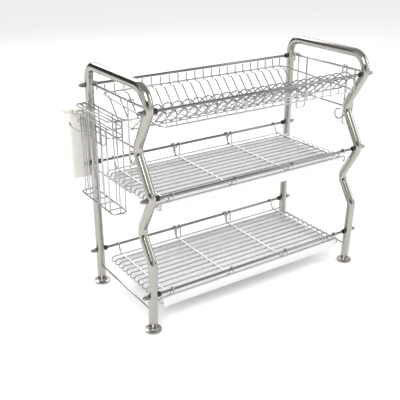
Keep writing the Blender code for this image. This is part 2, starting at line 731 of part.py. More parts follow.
def make_basket():
    """The wire cutlery basket that hangs outside the left frame, with its hanger and side bar."""
    inner, outer = -BASKET_INNER, -BASKET_OUTER
    rear, front = -BASKET_REAR, -BASKET_FRONT

    def loop(z):
        return ring([(inner, rear, z), (outer, rear, z), (outer, front, z), (inner, front, z)], BASKET_CORNER)

    rings = swept("cutlery_basket", [loop(BASKET_TOP), loop(BASKET_BOTTOM)], BASKET_WIRE, closed=True)
    thin = swept("basket_rings", [loop(BASKET_RING_1), loop(BASKET_RING_2)], BASKET_THIN_WIRE, closed=True)
    inset = BAR_INSET
    bars = []
    for number in range(BASKET_BARS):
        y = front + 0.015 + BASKET_BAR_PITCH * number
        bars.append([(outer + inset, y, BASKET_RING_1 + 0.001), (outer + inset, y, BASKET_BOTTOM)])
    for y in (front + 0.045, rear - 0.045):
        bars.append([(inner - inset, y, BASKET_TOP), (inner - inset, y, BASKET_BOTTOM)])
    middle = (inner + outer) / 2
    for y in (front + inset, rear - inset):
        bars.append([(middle, y, BASKET_TOP), (middle, y, BASKET_BOTTOM)])
    uprights = swept("basket_uprights", bars, BASKET_THIN_WIRE)
    posts = [
        [(x, y, BASKET_TOP), (x, y, BASKET_BOTTOM)]
        for x, y in ((inner - 0.0026, front + 0.0026), (inner - 0.0026, rear - 0.0026))
    ]
    third = BASKET_WIDTH / 3
    slots = [
        [
            (inner - third * n, rear + inset, BASKET_TOP - 0.001),
            (inner - third * n, front - inset, BASKET_TOP - 0.001),
        ]
        for n in (1, 2)
    ]
    floor_bars = [
        [(inner + inset, y, BASKET_BOTTOM - 0.0007), (outer - inset, y, BASKET_BOTTOM - 0.0007)]
        for y in (front + 0.026, front + 0.063, rear - 0.058, rear - 0.023)
    ]
    bar_x = -SIDE_BAR_X
    side_bar = filleted(
        [
            ((outer + 0.001, front + 0.005, BASKET_RING_1), 0),
            ((bar_x, front + 0.005, BASKET_RING_1), 0.003),
            ((bar_x, front + 0.005, SIDE_BAR_HEIGHT), 0.010),
            ((bar_x, -SIDE_BAR_REAR - 0.008, SIDE_BAR_HEIGHT), 0.004),
            ((bar_x, -SIDE_BAR_REAR, SIDE_BAR_HEIGHT + 0.005), 0),
        ],
        2,
    )
    stay = filleted(
        [
            ((outer + 0.001, front + 0.030, BASKET_RING_1), 0),
            ((bar_x, front + 0.030, BASKET_RING_1), 0.003),
            ((bar_x, front + 0.030, SIDE_BAR_HEIGHT - 0.0005), 0),
        ],
        2,
    )
    arm_rear = CUP_ARM_REACH
    cup_arm = filleted(
        [
            ((inner - 0.004, rear + 0.001, BASKET_RING_1 + 0.001), 0),
            ((inner - 0.004, rear + 0.010, CUP_ARM_HEIGHT), 0.003),
            ((inner - 0.004, arm_rear, CUP_ARM_HEIGHT), 0.003),
            ((outer + 0.004, arm_rear, CUP_ARM_HEIGHT), 0.003),
            ((outer + 0.004, rear + 0.010, CUP_ARM_HEIGHT), 0.003),
            ((outer + 0.004, rear + 0.001, BASKET_RING_1 + 0.001), 0),
        ],
        2,
    )
    hang_y = (front - 0.006, rear + 0.002)
    hooks = [rail_hook(-HANGER_X, y, -1, BASKET_THIN_WIRE, HOOK_TIP) for y in hang_y]
    bottom = [((-HANGER_X, y, HANGER_BOTTOM), 0.006) for y in hang_y]
    hanger = filleted([*hooks[0], bottom[0], bottom[1], *reversed(hooks[1])], 3)
    links = [
        [(inner + 0.001, y + lean, z), (-HANGER_X, y, z)]
        for y, lean in zip(hang_y, (HANGER_LINK_LEAN, -HANGER_LINK_LEAN))
        for z in (BASKET_TOP, BASKET_TOP - HANGER_LINK_DROP)
    ]
    weld(rings, thin)
    weld(rings, uprights)
    weld(rings, swept("basket_posts", posts + slots + floor_bars + [side_bar, cup_arm], BASKET_THIN_WIRE))
    weld(rings, swept("basket_links", links + [stay], BASKET_THIN_WIRE))
    weld(rings, swept("basket_hanger", [hanger], BASKET_THIN_WIRE))
    return add(rings, POLISHED_WIRE)


def make_cup():
    """The plastic utensil cup with a flared lip and two hooks over the basket's rear arm."""
    low = (CUP_CENTRE_X - CUP_WIDTH / 2, CUP_FRONT, CUP_TOP - CUP_HEIGHT)
    high = (CUP_CENTRE_X + CUP_WIDTH / 2, CUP_FRONT + CUP_DEPTH, CUP_TOP)
    middle = Vector(((low[0] + high[0]) / 2, CUP_FRONT, 0))
    cup = box("utensil_cup", low, high)
    lip = box(
        "utensil_cup_lip",
        (low[0] - CUP_LIP, low[1] - 0.0005, CUP_TOP - CUP_LIP_HEIGHT),
        (high[0] + CUP_LIP, high[1] + CUP_LIP, CUP_TOP),
    )
    inset = [a + CUP_WALL for a in low]
    outset = [high[0] - CUP_WALL, high[1] - CUP_WALL, CUP_TOP + 0.01]
    hollow = box("utensil_cup_hollow", inset, outset)
    for piece in (cup, hollow):
        for vert in piece.data.vertices:
            if vert.co.z < CUP_TOP - CUP_HEIGHT / 2:
                vert.co.x = middle.x + (vert.co.x - middle.x) * CUP_TAPER
                vert.co.y = middle.y + (vert.co.y - middle.y) * CUP_TAPER
    for piece in (cup, hollow, lip):
        round_uprights(piece, CUP_CORNER)
    arm = BASKET_THIN_WIRE + GAP
    tab_low = CUP_ARM_REACH - arm - CUP_WALL
    tab_top = CUP_ARM_HEIGHT + arm + CUP_WALL
    left = -(BASKET_OUTER + BASKET_INNER + CUP_HOOK_WIDTH) / 2
    right = left + CUP_HOOK_WIDTH
    behind = CUP_FRONT + CUP_WALL
    back = box("cup_hook_back", (left, CUP_FRONT, CUP_TOP - 0.006), (right, behind, tab_top))
    over = box("cup_hook_over", (left, tab_low, tab_top - CUP_WALL), (right, behind - 0.0004, tab_top))
    down = box("cup_hook_down", (left, tab_low, CUP_ARM_HEIGHT - 0.005), (right, tab_low + CUP_WALL, tab_top))
    weld(cup, lip)
    weld(cup, back)
    weld(cup, over)
    weld(cup, down)
    helper(hollow)
    cut = cup.modifiers.new("hollow", "BOOLEAN")
    cut.operation = "DIFFERENCE"
    cut.object = hollow
    return add(cup, CREAM_CUP)


def make_board_holder():
    """Two wire loops that hang on the right rail, joined by an outer top rail."""
    outer = HOLDER_X + HOLDER_WIDTH
    top = RAIL_HEIGHT - HOLDER_TOP_DROP
    loops = []
    for y in (-HOLDER_REAR, -HOLDER_FRONT):
        corners = [
            *rail_hook(HOLDER_X, y, 1, HOLDER_WIRE, HOOK_TIP),
            ((HOLDER_X, y, HOLDER_BOTTOM), HOLDER_CORNER),
            ((outer, y, HOLDER_BOTTOM), HOLDER_CORNER),
            ((outer, y, top + 0.0005), 0),
        ]
        loops.append(filleted(corners, 3))
    body = swept("board_holder", loops, HOLDER_WIRE, sides=6)
    x = outer + HOLDER_RAIL_OFFSET
    rail = [(x, -HOLDER_REAR + 0.002, top), (x, -HOLDER_FRONT - 0.002, top)]
    weld(body, swept("board_holder_rail", [rail], HOLDER_WIRE, sides=6))
    return add(body, POLISHED_WIRE)


def main():
    make_side_frame("left_side_frame", -FRAME_X)
    make_side_frame("right_side_frame", FRAME_X)
    make_feet()
    make_rods()
    make_side_wires("left", -FRAME_X)
    make_side_wires("right", FRAME_X)
    make_plate_rack()
    for name, tier in (("middle", MIDDLE_TIER), ("bottom", BOTTOM_TIER)):
        make_shelf(f"{name}_shelf", tier, -ROD_PLACES[f"{name}_front_rod"][0])
        make_clips(name, tier)
        make_tray(f"{name}_drip_tray", tier)
    make_basket()
    make_cup()
    make_board_holder()


main()
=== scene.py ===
"""Looks of the dish drying rack: smooth tubes and wires with weld beads, moulded plastic, and a studio."""

import json
import logging
import math
from dataclasses import dataclass, field
from enum import Enum
from typing import Iterable, Optional, Sequence

import bmesh
import bpy
from mathutils import Matrix, Vector


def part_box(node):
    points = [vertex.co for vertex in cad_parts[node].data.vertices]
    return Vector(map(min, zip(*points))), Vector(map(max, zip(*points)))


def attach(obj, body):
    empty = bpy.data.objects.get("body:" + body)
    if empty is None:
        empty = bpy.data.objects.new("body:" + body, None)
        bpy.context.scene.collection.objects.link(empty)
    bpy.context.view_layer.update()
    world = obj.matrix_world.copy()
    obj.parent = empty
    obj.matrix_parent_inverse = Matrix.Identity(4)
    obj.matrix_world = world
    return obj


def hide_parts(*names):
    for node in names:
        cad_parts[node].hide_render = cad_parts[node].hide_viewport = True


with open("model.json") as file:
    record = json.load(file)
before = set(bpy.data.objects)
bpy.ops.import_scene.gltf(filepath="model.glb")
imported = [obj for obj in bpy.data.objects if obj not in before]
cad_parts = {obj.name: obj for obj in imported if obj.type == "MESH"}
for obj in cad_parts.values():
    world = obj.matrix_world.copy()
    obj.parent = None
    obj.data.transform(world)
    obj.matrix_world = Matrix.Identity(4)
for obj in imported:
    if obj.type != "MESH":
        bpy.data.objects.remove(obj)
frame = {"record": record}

log = logging.getLogger("dish_rack")

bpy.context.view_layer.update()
NODE_BODY = {
    node: body for body, nodes in frame["record"]["behaviour"]["bodies"].items() for node in nodes
}

Corner = tuple[Sequence[float], float]

UP = Vector((0, 0, 1))
STUDIO_WHITE = (0.93, 0.93, 0.93, 1)


class End(Enum):
    """How the end of a swept bar is finished."""

    ROUND = "round"
    FLAT = "flat"


class Side(Enum):
    """A side of the rack, with its sign along X."""

    LEFT = -1
    RIGHT = 1

    @property
    def word(self) -> str:
        """The side's name as it starts a node's name."""
        return self.name.lower()


# ---------------------------------------------------------------------------------------------------
# Where things are
# ---------------------------------------------------------------------------------------------------


def box(node: str) -> tuple[Vector, Vector]:
    """The lowest and highest corner of a CAD node's box."""
    low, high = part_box(node)
    return Vector(low), Vector(high)


@dataclass(frozen=True)
class Layout:
    """The rack's main lines in the row frame, read from the CAD nodes.

    Attributes:
        middle_x: The plane midway between the side frames.
        rear_y: The rear legs' centre plane.
        frame_x: Half the spacing of the side frames.
        height: The top of the side frames.
        tube_radius: Outer radius of the frame tube.
        rods: The (y, z) centre of each rod, y measured from the rear legs.
        rod_radius: Radius of the rods.
    """

    middle_x: float
    rear_y: float
    frame_x: float
    height: float
    tube_radius: float
    rods: dict[str, tuple[float, float]]
    rod_radius: float

    @classmethod
    def from_frame(cls) -> "Layout":
        """Reads the layout from the boxes of the side frames and the rods.

        Returns:
            The layout of the loaded CAD model.
        """
        left_low, left_high = box("left_side_frame")
        right_low, _ = box("right_side_frame")
        tube = (left_high.x - left_low.x) / 2
        rear = left_high.y - tube
        rods = {}
        rod_radius = 0.0
        for tier in ("top", "middle", "bottom"):
            for end in ("rear", "front"):
                low, high = box(f"{tier}_{end}_rod")
                rods[f"{tier}_{end}"] = ((low.y + high.y) / 2 - rear, (low.z + high.z) / 2)
                rod_radius = (high.z - low.z) / 2
        return cls(
            middle_x=(left_low.x + right_low.x) / 2 + tube,
            rear_y=rear,
            frame_x=(right_low.x - left_low.x) / 2,
            height=left_high.z,
            tube_radius=tube,
            rods=rods,
            rod_radius=rod_radius,
        )

    def place(self, x: float, y: float, z: float) -> Vector:
        """Turns a point measured from the rack's middle and rear legs into the row frame.

        Args:
            x: Distance to the right of the middle plane.
            y: Distance behind the rear legs (the front is negative).
            z: Height above the table.

        Returns:
            The point in the row frame.
        """
        return Vector((self.middle_x + x, self.rear_y + y, z))

    def tier(self, name: str) -> float:
        """Height of a tier's rods."""
        return self.rods[f"{name}_rear"][1]


LAYOUT = Layout.from_frame()
# the clearance between pieces that nearly touch
GAP = 0.0003

# a weld bead's radius as a share of the wire's, and the stretch of a bead that lies against a leg
BEAD = 1.3
SMALL_BEAD = 1.25
LEG_BEAD_STRETCH = (1, 0.7, 1)


def span(node: str, axis: int) -> tuple[float, float]:
    """Lowest and highest value of a CAD node along an axis, measured as LAYOUT measures it."""
    low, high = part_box(node)
    shift = (LAYOUT.middle_x, LAYOUT.rear_y, 0.0)[axis]
    return low[axis] - shift, high[axis] - shift


# ---------------------------------------------------------------------------------------------------
# Shapes
# ---------------------------------------------------------------------------------------------------


STRAIGHT_ANGLE = math.radians(89.5)


def filleted(corners: Sequence[Corner], steps: int = 8) -> list[Vector]:
    """Rounds the corners of a path.

    Args:
        corners: (point, radius) pairs; the first and last are the path's ends.
        steps: How many straight pieces make up each rounded corner.

    Returns:
        The points of the rounded path.
    """
    places = [Vector(place) for place, _ in corners]
    made = [places[0]]
    for before, (_, radius), corner, after in zip(places, corners[1:-1], places[1:-1], places[2:]):
        back = (before - corner).normalized()
        ahead = (after - corner).normalized()
        half = back.angle(ahead) / 2
        if radius == 0 or half > STRAIGHT_ANGLE:
            made.append(corner)
            continue
        reach = radius / math.tan(half)
        centre = corner + (back + ahead).normalized() * radius / math.sin(half)
        first = corner + back * reach - centre
        last = corner + ahead * reach - centre
        turn = first.angle(last)
        axis = first.cross(last).normalized()
        made += [centre + Matrix.Rotation(turn * step / steps, 3, axis) @ first for step in range(steps + 1)]
    made.append(places[-1])
    return made


def bent(corners: Iterable[Corner], steps: int) -> list[Vector]:
    """The rounded path through corners that are given in the rack's own measures."""
    return filleted([(LAYOUT.place(*point), radius) for point, radius in corners], steps)


def loop(corners: Sequence[Vector], radius: float, steps: int = 6) -> list[Vector]:
    """A closed path with every corner rounded by the same radius."""
    closed = [corners[-1], *corners, corners[0]]
    return filleted([(corner, radius) for corner in closed], steps)[1:-1]


def upright_to(axis: Vector) -> Matrix:
    """The turn that takes the Z axis to another axis."""
    return UP.rotation_difference(axis.normalized()).to_matrix().to_4x4()


@dataclass(frozen=True)
class Station:
    """One level of a moulded shell: a rounded rectangle at a height."""

    centre: tuple[float, float]
    half: tuple[float, float]
    corner: float
    z: float

    def outline(self, steps: int) -> list[Vector]:
        """The outline's points, anticlockwise from above."""
        corner = max(min(self.corner, *self.half) - 1e-6, 1e-5)
        points = []
        for quarter, (sx, sy) in enumerate(((1, 1), (-1, 1), (-1, -1), (1, -1))):
            x = self.centre[0] + sx * (self.half[0] - corner)
            y = self.centre[1] + sy * (self.half[1] - corner)
            for step in range(steps + 1):
                angle = math.pi / 2 * (quarter + step / steps)
                points.append(Vector((x, y, self.z)) + corner * Vector((math.cos(angle), math.sin(angle), 0)))
        return points


class Shape:
    """A mesh in the making, in the row frame. Its methods add closed bodies to it."""

    FLAT_BEVEL = 0.35
    TIP_TURN = math.pi / 5.2
    WELD_DISTANCE = 1e-6

    def __init__(self) -> None:
        """Starts with an empty mesh."""
        self.mesh = bmesh.new()

    def _ring(self, centre: Vector, across: Vector, up: Vector, radius: float, sides: int) -> list:
        """Adds a ring of vertices round a point."""
        verts = []
        for side in range(sides):
            angle = 2 * math.pi * side / sides
            outward = math.cos(angle) * across + math.sin(angle) * up
            verts.append(self.mesh.verts.new(centre + radius * outward))
        return verts

    def _bridge(self, first: list, second: list) -> None:
        """Joins two rings of the same length with quads."""
        for side, vert in enumerate(first):
            following = (side + 1) % len(first)
            self.mesh.faces.new((vert, first[following], second[following], second[side]))

    def sweep(
        self,
        path: Sequence[Vector],
        radius: float,
        sides: int = 10,
        closed: bool = False,
        end: End = End.ROUND,
    ) -> None:
        """Adds a bar of round section along a path.

        Args:
            path: The points of its centreline.
            radius: Its radius.
            sides: Number of faces round the bar.
            closed: Whether the path is a closed loop.
            end: Finish of the two ends of an open bar.
        """
        points = [Vector(point) for point in path]
        count = len(points)
        rings = []
        normal = None
        for index, point in enumerate(points):
            ahead = points[(index + 1) % count] - point if closed or index < count - 1 else None
            behind = point - points[index - 1] if closed or index > 0 else None
            if ahead is None:
                along = behind.normalized()
            elif behind is None:
                along = ahead.normalized()
            else:
                along = (ahead.normalized() + behind.normalized()).normalized()
            if normal is None:
                helper = UP if abs(along.z) < 0.9 else Vector((1, 0, 0))
                normal = along.cross(helper).normalized()
            normal = (normal - along * normal.dot(along)).normalized()
            rings.append((point, normal, along.cross(normal), along))
        made = [self._ring(p, n, b, radius, sides) for p, n, b, _ in rings]
        if closed:
            made.append(made[0])
        else:
            bevel = self.FLAT_BEVEL * radius if end is End.FLAT else radius
            made = self._tips(rings[0], -1, radius, bevel, sides)[::-1] + made
            made = made + self._tips(rings[-1], 1, radius, bevel, sides)
        for first, second in zip(made, made[1:]):
            self._bridge(first, second)
        if not closed:
            self.mesh.faces.new(made[0])
            self.mesh.faces.new(made[-1])

    def _tips(self, ring: tuple, sign: int, radius: float, bevel: float, sides: int) -> list[list]:
        """The shrinking rings that round the end of a bar, from its end outwards."""
        point, across, up, along = ring
        tips = []
        for step in (1, 2):
            angle = self.TIP_TURN * step
            shrunk = radius - bevel * (1 - math.cos(angle))
            centre = point + sign * along * 0.5 * bevel * math.sin(angle)
            tips.append(self._ring(centre, across, up, shrunk, sides))
        return tips

    def bead(self, place: Vector, radius: float, stretch: Sequence[float] = (1, 1, 1)) -> None:
        """Adds a small weld bead."""
        matrix = Matrix.Translation(place) @ Matrix.Diagonal((*stretch, 1))
        bmesh.ops.create_icosphere(self.mesh, subdivisions=1, radius=radius, matrix=matrix)

    def turn(
        self, profile: Sequence[tuple[float, float]], place: Vector, axis: Vector, steps: int = 32
    ) -> None:
        """Adds a turned body from a closed or axis-to-axis (radius, height) profile.

        Args:
            profile: Points of half the section, radius first.
            place: Where the profile's zero height is.
            axis: Direction of the profile's height.
            steps: Number of faces round the body.
        """
        spun = bmesh.new()
        verts = [spun.verts.new((r, 0, z)) for r, z in profile]
        edges = [spun.edges.new(pair) for pair in zip(verts, verts[1:])]
        whole = 2 * math.pi
        bmesh.ops.spin(
            spun, geom=verts + edges, cent=(0, 0, 0), axis=UP, angle=whole, steps=steps, use_merge=True
        )
        bmesh.ops.remove_doubles(spun, verts=spun.verts, dist=self.WELD_DISTANCE)
        self._take(spun, Matrix.Translation(place) @ upright_to(axis))

    def prism(
        self, sides: int, radius: float, length: float, bevel: float, place: Vector, axis: Vector
    ) -> None:
        """Adds a regular prism with bevelled edges, such as a nut."""
        made = bmesh.new()
        bmesh.ops.create_cone(
            made, cap_ends=True, segments=sides, radius1=radius, radius2=radius, depth=length
        )
        self._bevel(made, bevel, 2)
        self._take(made, Matrix.Translation(place + axis.normalized() * length / 2) @ upright_to(axis))

    def block(self, low: Vector, high: Vector, bevel: float) -> None:
        """Adds a box with rounded edges between two corners."""
        made = bmesh.new()
        bmesh.ops.create_cube(made, size=1)
        bmesh.ops.scale(made, vec=high - low, verts=made.verts)
        self._bevel(made, bevel, 3)
        self._take(made, Matrix.Translation((low + high) / 2))

    def loft(self, stations: Iterable[Station], steps: int = 8) -> None:
        """Adds a moulded body through rounded rectangles, closed at its first and last one."""
        rings = [[self.mesh.verts.new(point) for point in station.outline(steps)] for station in stations]
        for first, second in zip(rings, rings[1:]):
            self._bridge(first, second)
        self.mesh.faces.new(rings[0])
        self.mesh.faces.new(rings[-1])

    @staticmethod
    def _bevel(made: bmesh.types.BMesh, offset: float, segments: int) -> None:
        """Rounds every edge of a body."""
        bmesh.ops.bevel(
            made,
            geom=made.edges[:],
            offset=offset,
            offset_type="OFFSET",
            segments=segments,
            profile=0.5,
            affect="EDGES",
            clamp_overlap=True,
            material=-1,
        )

    def _take(self, other: bmesh.types.BMesh, matrix: Matrix) -> None:
        """Moves another mesh's body into this one."""
        other.transform(matrix)
        holder = bpy.data.meshes.new("holder")
        other.to_mesh(holder)
        other.free()
        self.mesh.from_mesh(holder)
        bpy.data.meshes.remove(holder)

    def to_object(self, name: str, smooth_angle: float) -> bpy.types.Object:
        """Finishes the mesh.

        Args:
            name: The object's name.
            smooth_angle: Edges sharper than this, in degrees, stay sharp.

        Returns:
            The object, linked to the scene.
        """
        bmesh.ops.remove_doubles(self.mesh, verts=self.mesh.verts, dist=self.WELD_DISTANCE)
        bmesh.ops.recalc_face_normals(self.mesh, faces=self.mesh.faces)
        data = bpy.data.meshes.new(name)
        self.mesh.to_mesh(data)
        self.mesh.free()
        data.shade_smooth()
        data.set_sharp_from_angle(angle=math.radians(smooth_angle))
        obj = bpy.data.objects.new(name, data)
        bpy.context.scene.collection.objects.link(obj)
        return obj


# ---------------------------------------------------------------------------------------------------
# Finishes
# ---------------------------------------------------------------------------------------------------


@dataclass(frozen=True)
class Finish:
    """A surface finish, as the Principled shader takes it.

    Attributes:
        slot: The finish's name, which also names its material.
        colour: Linear base colour.
        metallic: 0 or 1.
        roughness: Mean roughness.
        spread: How far the roughness wanders to either side.
        grain: Noise scale along X, Y and Z; unequal values make brush marks.
        relief: Height of the fine relief, in metres.
        transmission: Share of light that passes through.
        subsurface: Share of light that scatters inside.
        coat: Weight of a clear coat.
        tint_spread: How far the colour darkens where the noise is strong.
    """

    slot: str
    colour: tuple[float, float, float]
    metallic: float
    roughness: float
    spread: float
    grain: tuple[float, float, float]
    relief: float
    transmission: float = 0.0
    subsurface: float = 0.0
    coat: float = 0.0
    tint_spread: float = 0.05


BRUSHED_TUBE = Finish("brushed_tube", (0.43, 0.415, 0.385), 1.0, 0.17, 0.06, (260, 260, 14), 0.00002)
POLISHED_WIRE = Finish("polished_wire", (0.50, 0.495, 0.49), 1.0, 0.17, 0.06, (180, 180, 180), 0.00001)
DARK_ROD = Finish("dark_rod", (0.24, 0.235, 0.23), 1.0, 0.22, 0.06, (12, 260, 260), 0.00001)
BLACK_COLLAR = Finish("black_collar", (0.018, 0.018, 0.019), 0.0, 0.42, 0.08, (400, 400, 400), 0.00003)
WHITE_TRAY = Finish(
    "white_tray", (0.92, 0.92, 0.93), 0.0, 0.38, 0.08, (90, 90, 90), 0.00002, transmission=0.2, subsurface=0.2
)
CREAM_CUP = Finish(
    "cream_cup", (0.90, 0.88, 0.81), 0.0, 0.30, 0.06, (120, 120, 120), 0.00001, 0.15, 0.25, 0.15
)


def math_node(nodes: bpy.types.Nodes, operation: str) -> bpy.types.Node:
    """Adds a math node."""
    made = nodes.new("ShaderNodeMath")
    made.operation = operation
    return made


class FinishLibrary:
    """Makes each finish's material once."""

    def __init__(self) -> None:
        """Starts with no materials and the node group that they share."""
        self._made: dict[str, bpy.types.Material] = {}
        self._wear = self._make_wear_group()

    @staticmethod
    def _make_wear_group() -> bpy.types.NodeTree:
        """The shared surface variation: what grain and slow smudges do to roughness, tint and relief."""
        group = bpy.data.node_groups.new("surface_variation", "ShaderNodeTree")
        face = group.interface
        for name, way, kind in (
            ("Grain", "INPUT", "Vector"),
            ("Roughness", "INPUT", "Float"),
            ("Spread", "INPUT", "Float"),
            ("Colour", "INPUT", "Color"),
            ("Tint Spread", "INPUT", "Float"),
            ("Relief", "INPUT", "Float"),
            ("Colour", "OUTPUT", "Color"),
            ("Roughness", "OUTPUT", "Float"),
            ("Normal", "OUTPUT", "Vector"),
        ):
            face.new_socket(name=name, in_out=way, socket_type="NodeSocket" + kind)
        nodes, links = group.nodes, group.links
        given = nodes.new("NodeGroupInput")
        result = nodes.new("NodeGroupOutput")
        place = nodes.new("ShaderNodeTexCoord")
        stretch = nodes.new("ShaderNodeVectorMath")
        stretch.operation = "MULTIPLY"
        grain = nodes.new("ShaderNodeTexNoise")
        grain.inputs["Scale"].default_value = 1.0
        grain.inputs["Detail"].default_value = 4.0
        smudge = nodes.new("ShaderNodeTexNoise")
        smudge.inputs["Scale"].default_value = 16.0
        smudge.inputs["Detail"].default_value = 3.0
        both = math_node(nodes, "ADD")
        centred = math_node(nodes, "SUBTRACT")
        centred.inputs[1].default_value = 1.0
        wander = math_node(nodes, "MULTIPLY_ADD")
        darken = nodes.new("ShaderNodeMix")
        darken.data_type = "RGBA"
        darken.blend_type = "MULTIPLY"
        share = math_node(nodes, "MULTIPLY")
        bump = nodes.new("ShaderNodeBump")
        bump.inputs["Strength"].default_value = 0.5
        links.new(place.outputs["Object"], stretch.inputs[0])
        links.new(given.outputs["Grain"], stretch.inputs[1])
        links.new(stretch.outputs["Vector"], grain.inputs["Vector"])
        links.new(place.outputs["Object"], smudge.inputs["Vector"])
        links.new(grain.outputs["Fac"], both.inputs[0])
        links.new(smudge.outputs["Fac"], both.inputs[1])
        links.new(both.outputs[0], centred.inputs[0])
        links.new(centred.outputs[0], wander.inputs[0])
        links.new(given.outputs["Spread"], wander.inputs[1])
        links.new(given.outputs["Roughness"], wander.inputs[2])
        links.new(smudge.outputs["Fac"], share.inputs[0])
        links.new(given.outputs["Tint Spread"], share.inputs[1])
        links.new(share.outputs[0], darken.inputs["Factor"])
        links.new(given.outputs["Colour"], darken.inputs["A"])
        darken.inputs["B"].default_value = (0.35, 0.35, 0.36, 1)
        links.new(grain.outputs["Fac"], bump.inputs["Height"])
        links.new(given.outputs["Relief"], bump.inputs["Distance"])
        links.new(darken.outputs["Result"], result.inputs["Colour"])
        links.new(wander.outputs[0], result.inputs["Roughness"])
        links.new(bump.outputs["Normal"], result.inputs["Normal"])
        return group

    def material(self, finish: Finish) -> bpy.types.Material:
        """The material of a finish.

        Args:
            finish: The finish wanted.

        Returns:
            Its material, made the first time it is asked for.
        """
        if finish.slot in self._made:
            return self._made[finish.slot]
        made = bpy.data.materials.new(finish.slot + "_finish")
        made.use_nodes = True
        tree = made.node_tree
        shader = tree.nodes["Principled BSDF"]
        for name, value in (
            ("Metallic", finish.metallic),
            ("Transmission Weight", finish.transmission),
            ("Subsurface Weight", finish.subsurface),
            ("Subsurface Radius", (1.0, 0.9, 0.8)),
            ("Subsurface Scale", 0.004),
            ("Coat Weight", finish.coat),
            ("Coat Roughness", 0.12),
        ):
            shader.inputs[name].default_value = value
        wear = tree.nodes.new("ShaderNodeGroup")
        wear.node_tree = self._wear
        for name, value in (
            ("Grain", finish.grain),
            ("Roughness", finish.roughness),
            ("Spread", finish.spread),
            ("Colour", (*finish.colour, 1)),
            ("Tint Spread", finish.tint_spread),
            ("Relief", finish.relief),
        ):
            wear.inputs[name].default_value = value
        for source, target in (("Colour", "Base Color"), ("Roughness", "Roughness"), ("Normal", "Normal")):
            tree.links.new(wear.outputs[source], shader.inputs[target])
        self._made[finish.slot] = made
        return made


FINISHES = FinishLibrary()


SMOOTH_ANGLE = 40
MOULDED_ANGLE = 50


def show(
    shape: Shape, node: str, finish: Finish, name: Optional[str] = None, angle: float = SMOOTH_ANGLE
) -> None:
    """Shows a shape in place of a CAD node.

    Args:
        shape: The finished shape.
        node: The CAD node that it stands for, or rides with.
        finish: Its finish.
        name: Its own name, for a further piece on the same node.
        angle: Edges sharper than this, in degrees, stay sharp.
    """
    obj = shape.to_object(name or node + "_look", angle)
    obj.data.materials.append(FINISHES.material(finish))
    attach(obj, NODE_BODY[node])
    if name is None:
        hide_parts(node)


# ---------------------------------------------------------------------------------------------------
# Side frames, feet, rods
# ---------------------------------------------------------------------------------------------------


@dataclass
class SideFrame:
    """One bent tube with its side wires and the curled hook on its front leg.

    Attributes:
        side: Which side it stands on.
        elbows: (distance in front of the rear legs, height) of the front leg's bends, from the top down.
    """

    side: Side
    top_reach: float = 0.247
    rear_bend: float = 0.032
    front_bend: float = 0.037
    foot_reach: float = 0.238
    elbow_bend: float = 0.026
    rail_radius: float = 0.0024
    brace_radius: float = 0.002
    elbows: tuple[tuple[float, float], ...] = (
        (0.198, 0.380),
        (0.2505, 0.294),
        (0.204, 0.214),
        (0.2445, 0.155),
    )

    @property
    def x(self) -> float:
        """The tube's plane."""
        return self.side.value * LAYOUT.frame_x

    def centreline(self) -> list[Vector]:
        """The tube's centreline from the rear foot, over the top and down to the front foot."""
        foot = span(f"{self.side.word}_side_frame", 2)[0]
        bar = LAYOUT.height - LAYOUT.tube_radius
        corners = [
            (0, foot, 0),
            (0, bar, self.rear_bend),
            (-self.top_reach, bar, self.front_bend),
            (-self.top_reach, LAYOUT.tier("top") - 0.001, self.elbow_bend / 2),
            *((-reach, height, self.elbow_bend) for reach, height in self.elbows),
            (-self.foot_reach, foot, 0),
        ]
        return bent([((self.x, y, z), radius) for y, z, radius in corners], 10)

    def _wire(self, node: str, radius: float) -> None:
        """A straight wire between the legs, with a weld bead at each end."""
        shape = Shape()
        low, high = box(node)
        middle = (low + high) / 2
        ends = [Vector((middle.x, y, middle.z)) for y in (low.y, high.y)]
        shape.sweep(ends, radius, 12, end=End.FLAT)
        for end, inward in zip(ends, (1, -1)):
            shape.bead(end + Vector((0, inward * radius * 0.4, 0)), radius * 1.35, LEG_BEAD_STRETCH)
        show(shape, node, POLISHED_WIRE)

    def _curled_hook(self) -> None:
        """The round hook behind the front leg, which curls under and back and is open at its upper front."""
        node = f"{self.side.word}_curled_hook"
        low, high = box(node)
        radius = (high.x - low.x) / 2
        round_radius = (high.z - low.z) / 2 - radius
        centre = Vector(((low.x + high.x) / 2, high.y - radius - round_radius, (low.z + high.z) / 2))
        path = [Vector((centre.x, low.y, centre.z + 0.0005))]
        start, stop, step = 196, 464, 8
        for degrees in range(start, stop, step):
            angle = math.radians(degrees)
            path.append(centre + round_radius * Vector((0, math.cos(angle), math.sin(angle))))
        shape = Shape()
        shape.sweep(path, radius, 12)
        shape.bead(path[0] + Vector((0, radius * 0.4, 0)), radius * 1.4, LEG_BEAD_STRETCH)
        show(shape, node, POLISHED_WIRE)

    def build(self) -> None:
        """Builds the tube and its wires."""
        shape = Shape()
        shape.sweep(self.centreline(), LAYOUT.tube_radius, 28, end=End.FLAT)
        show(shape, f"{self.side.word}_side_frame", BRUSHED_TUBE)
        self._wire(f"{self.side.word}_rail", self.rail_radius)
        self._wire(f"{self.side.word}_upper_brace", self.brace_radius)
        self._wire(f"{self.side.word}_lower_brace", self.brace_radius)
        self._curled_hook()


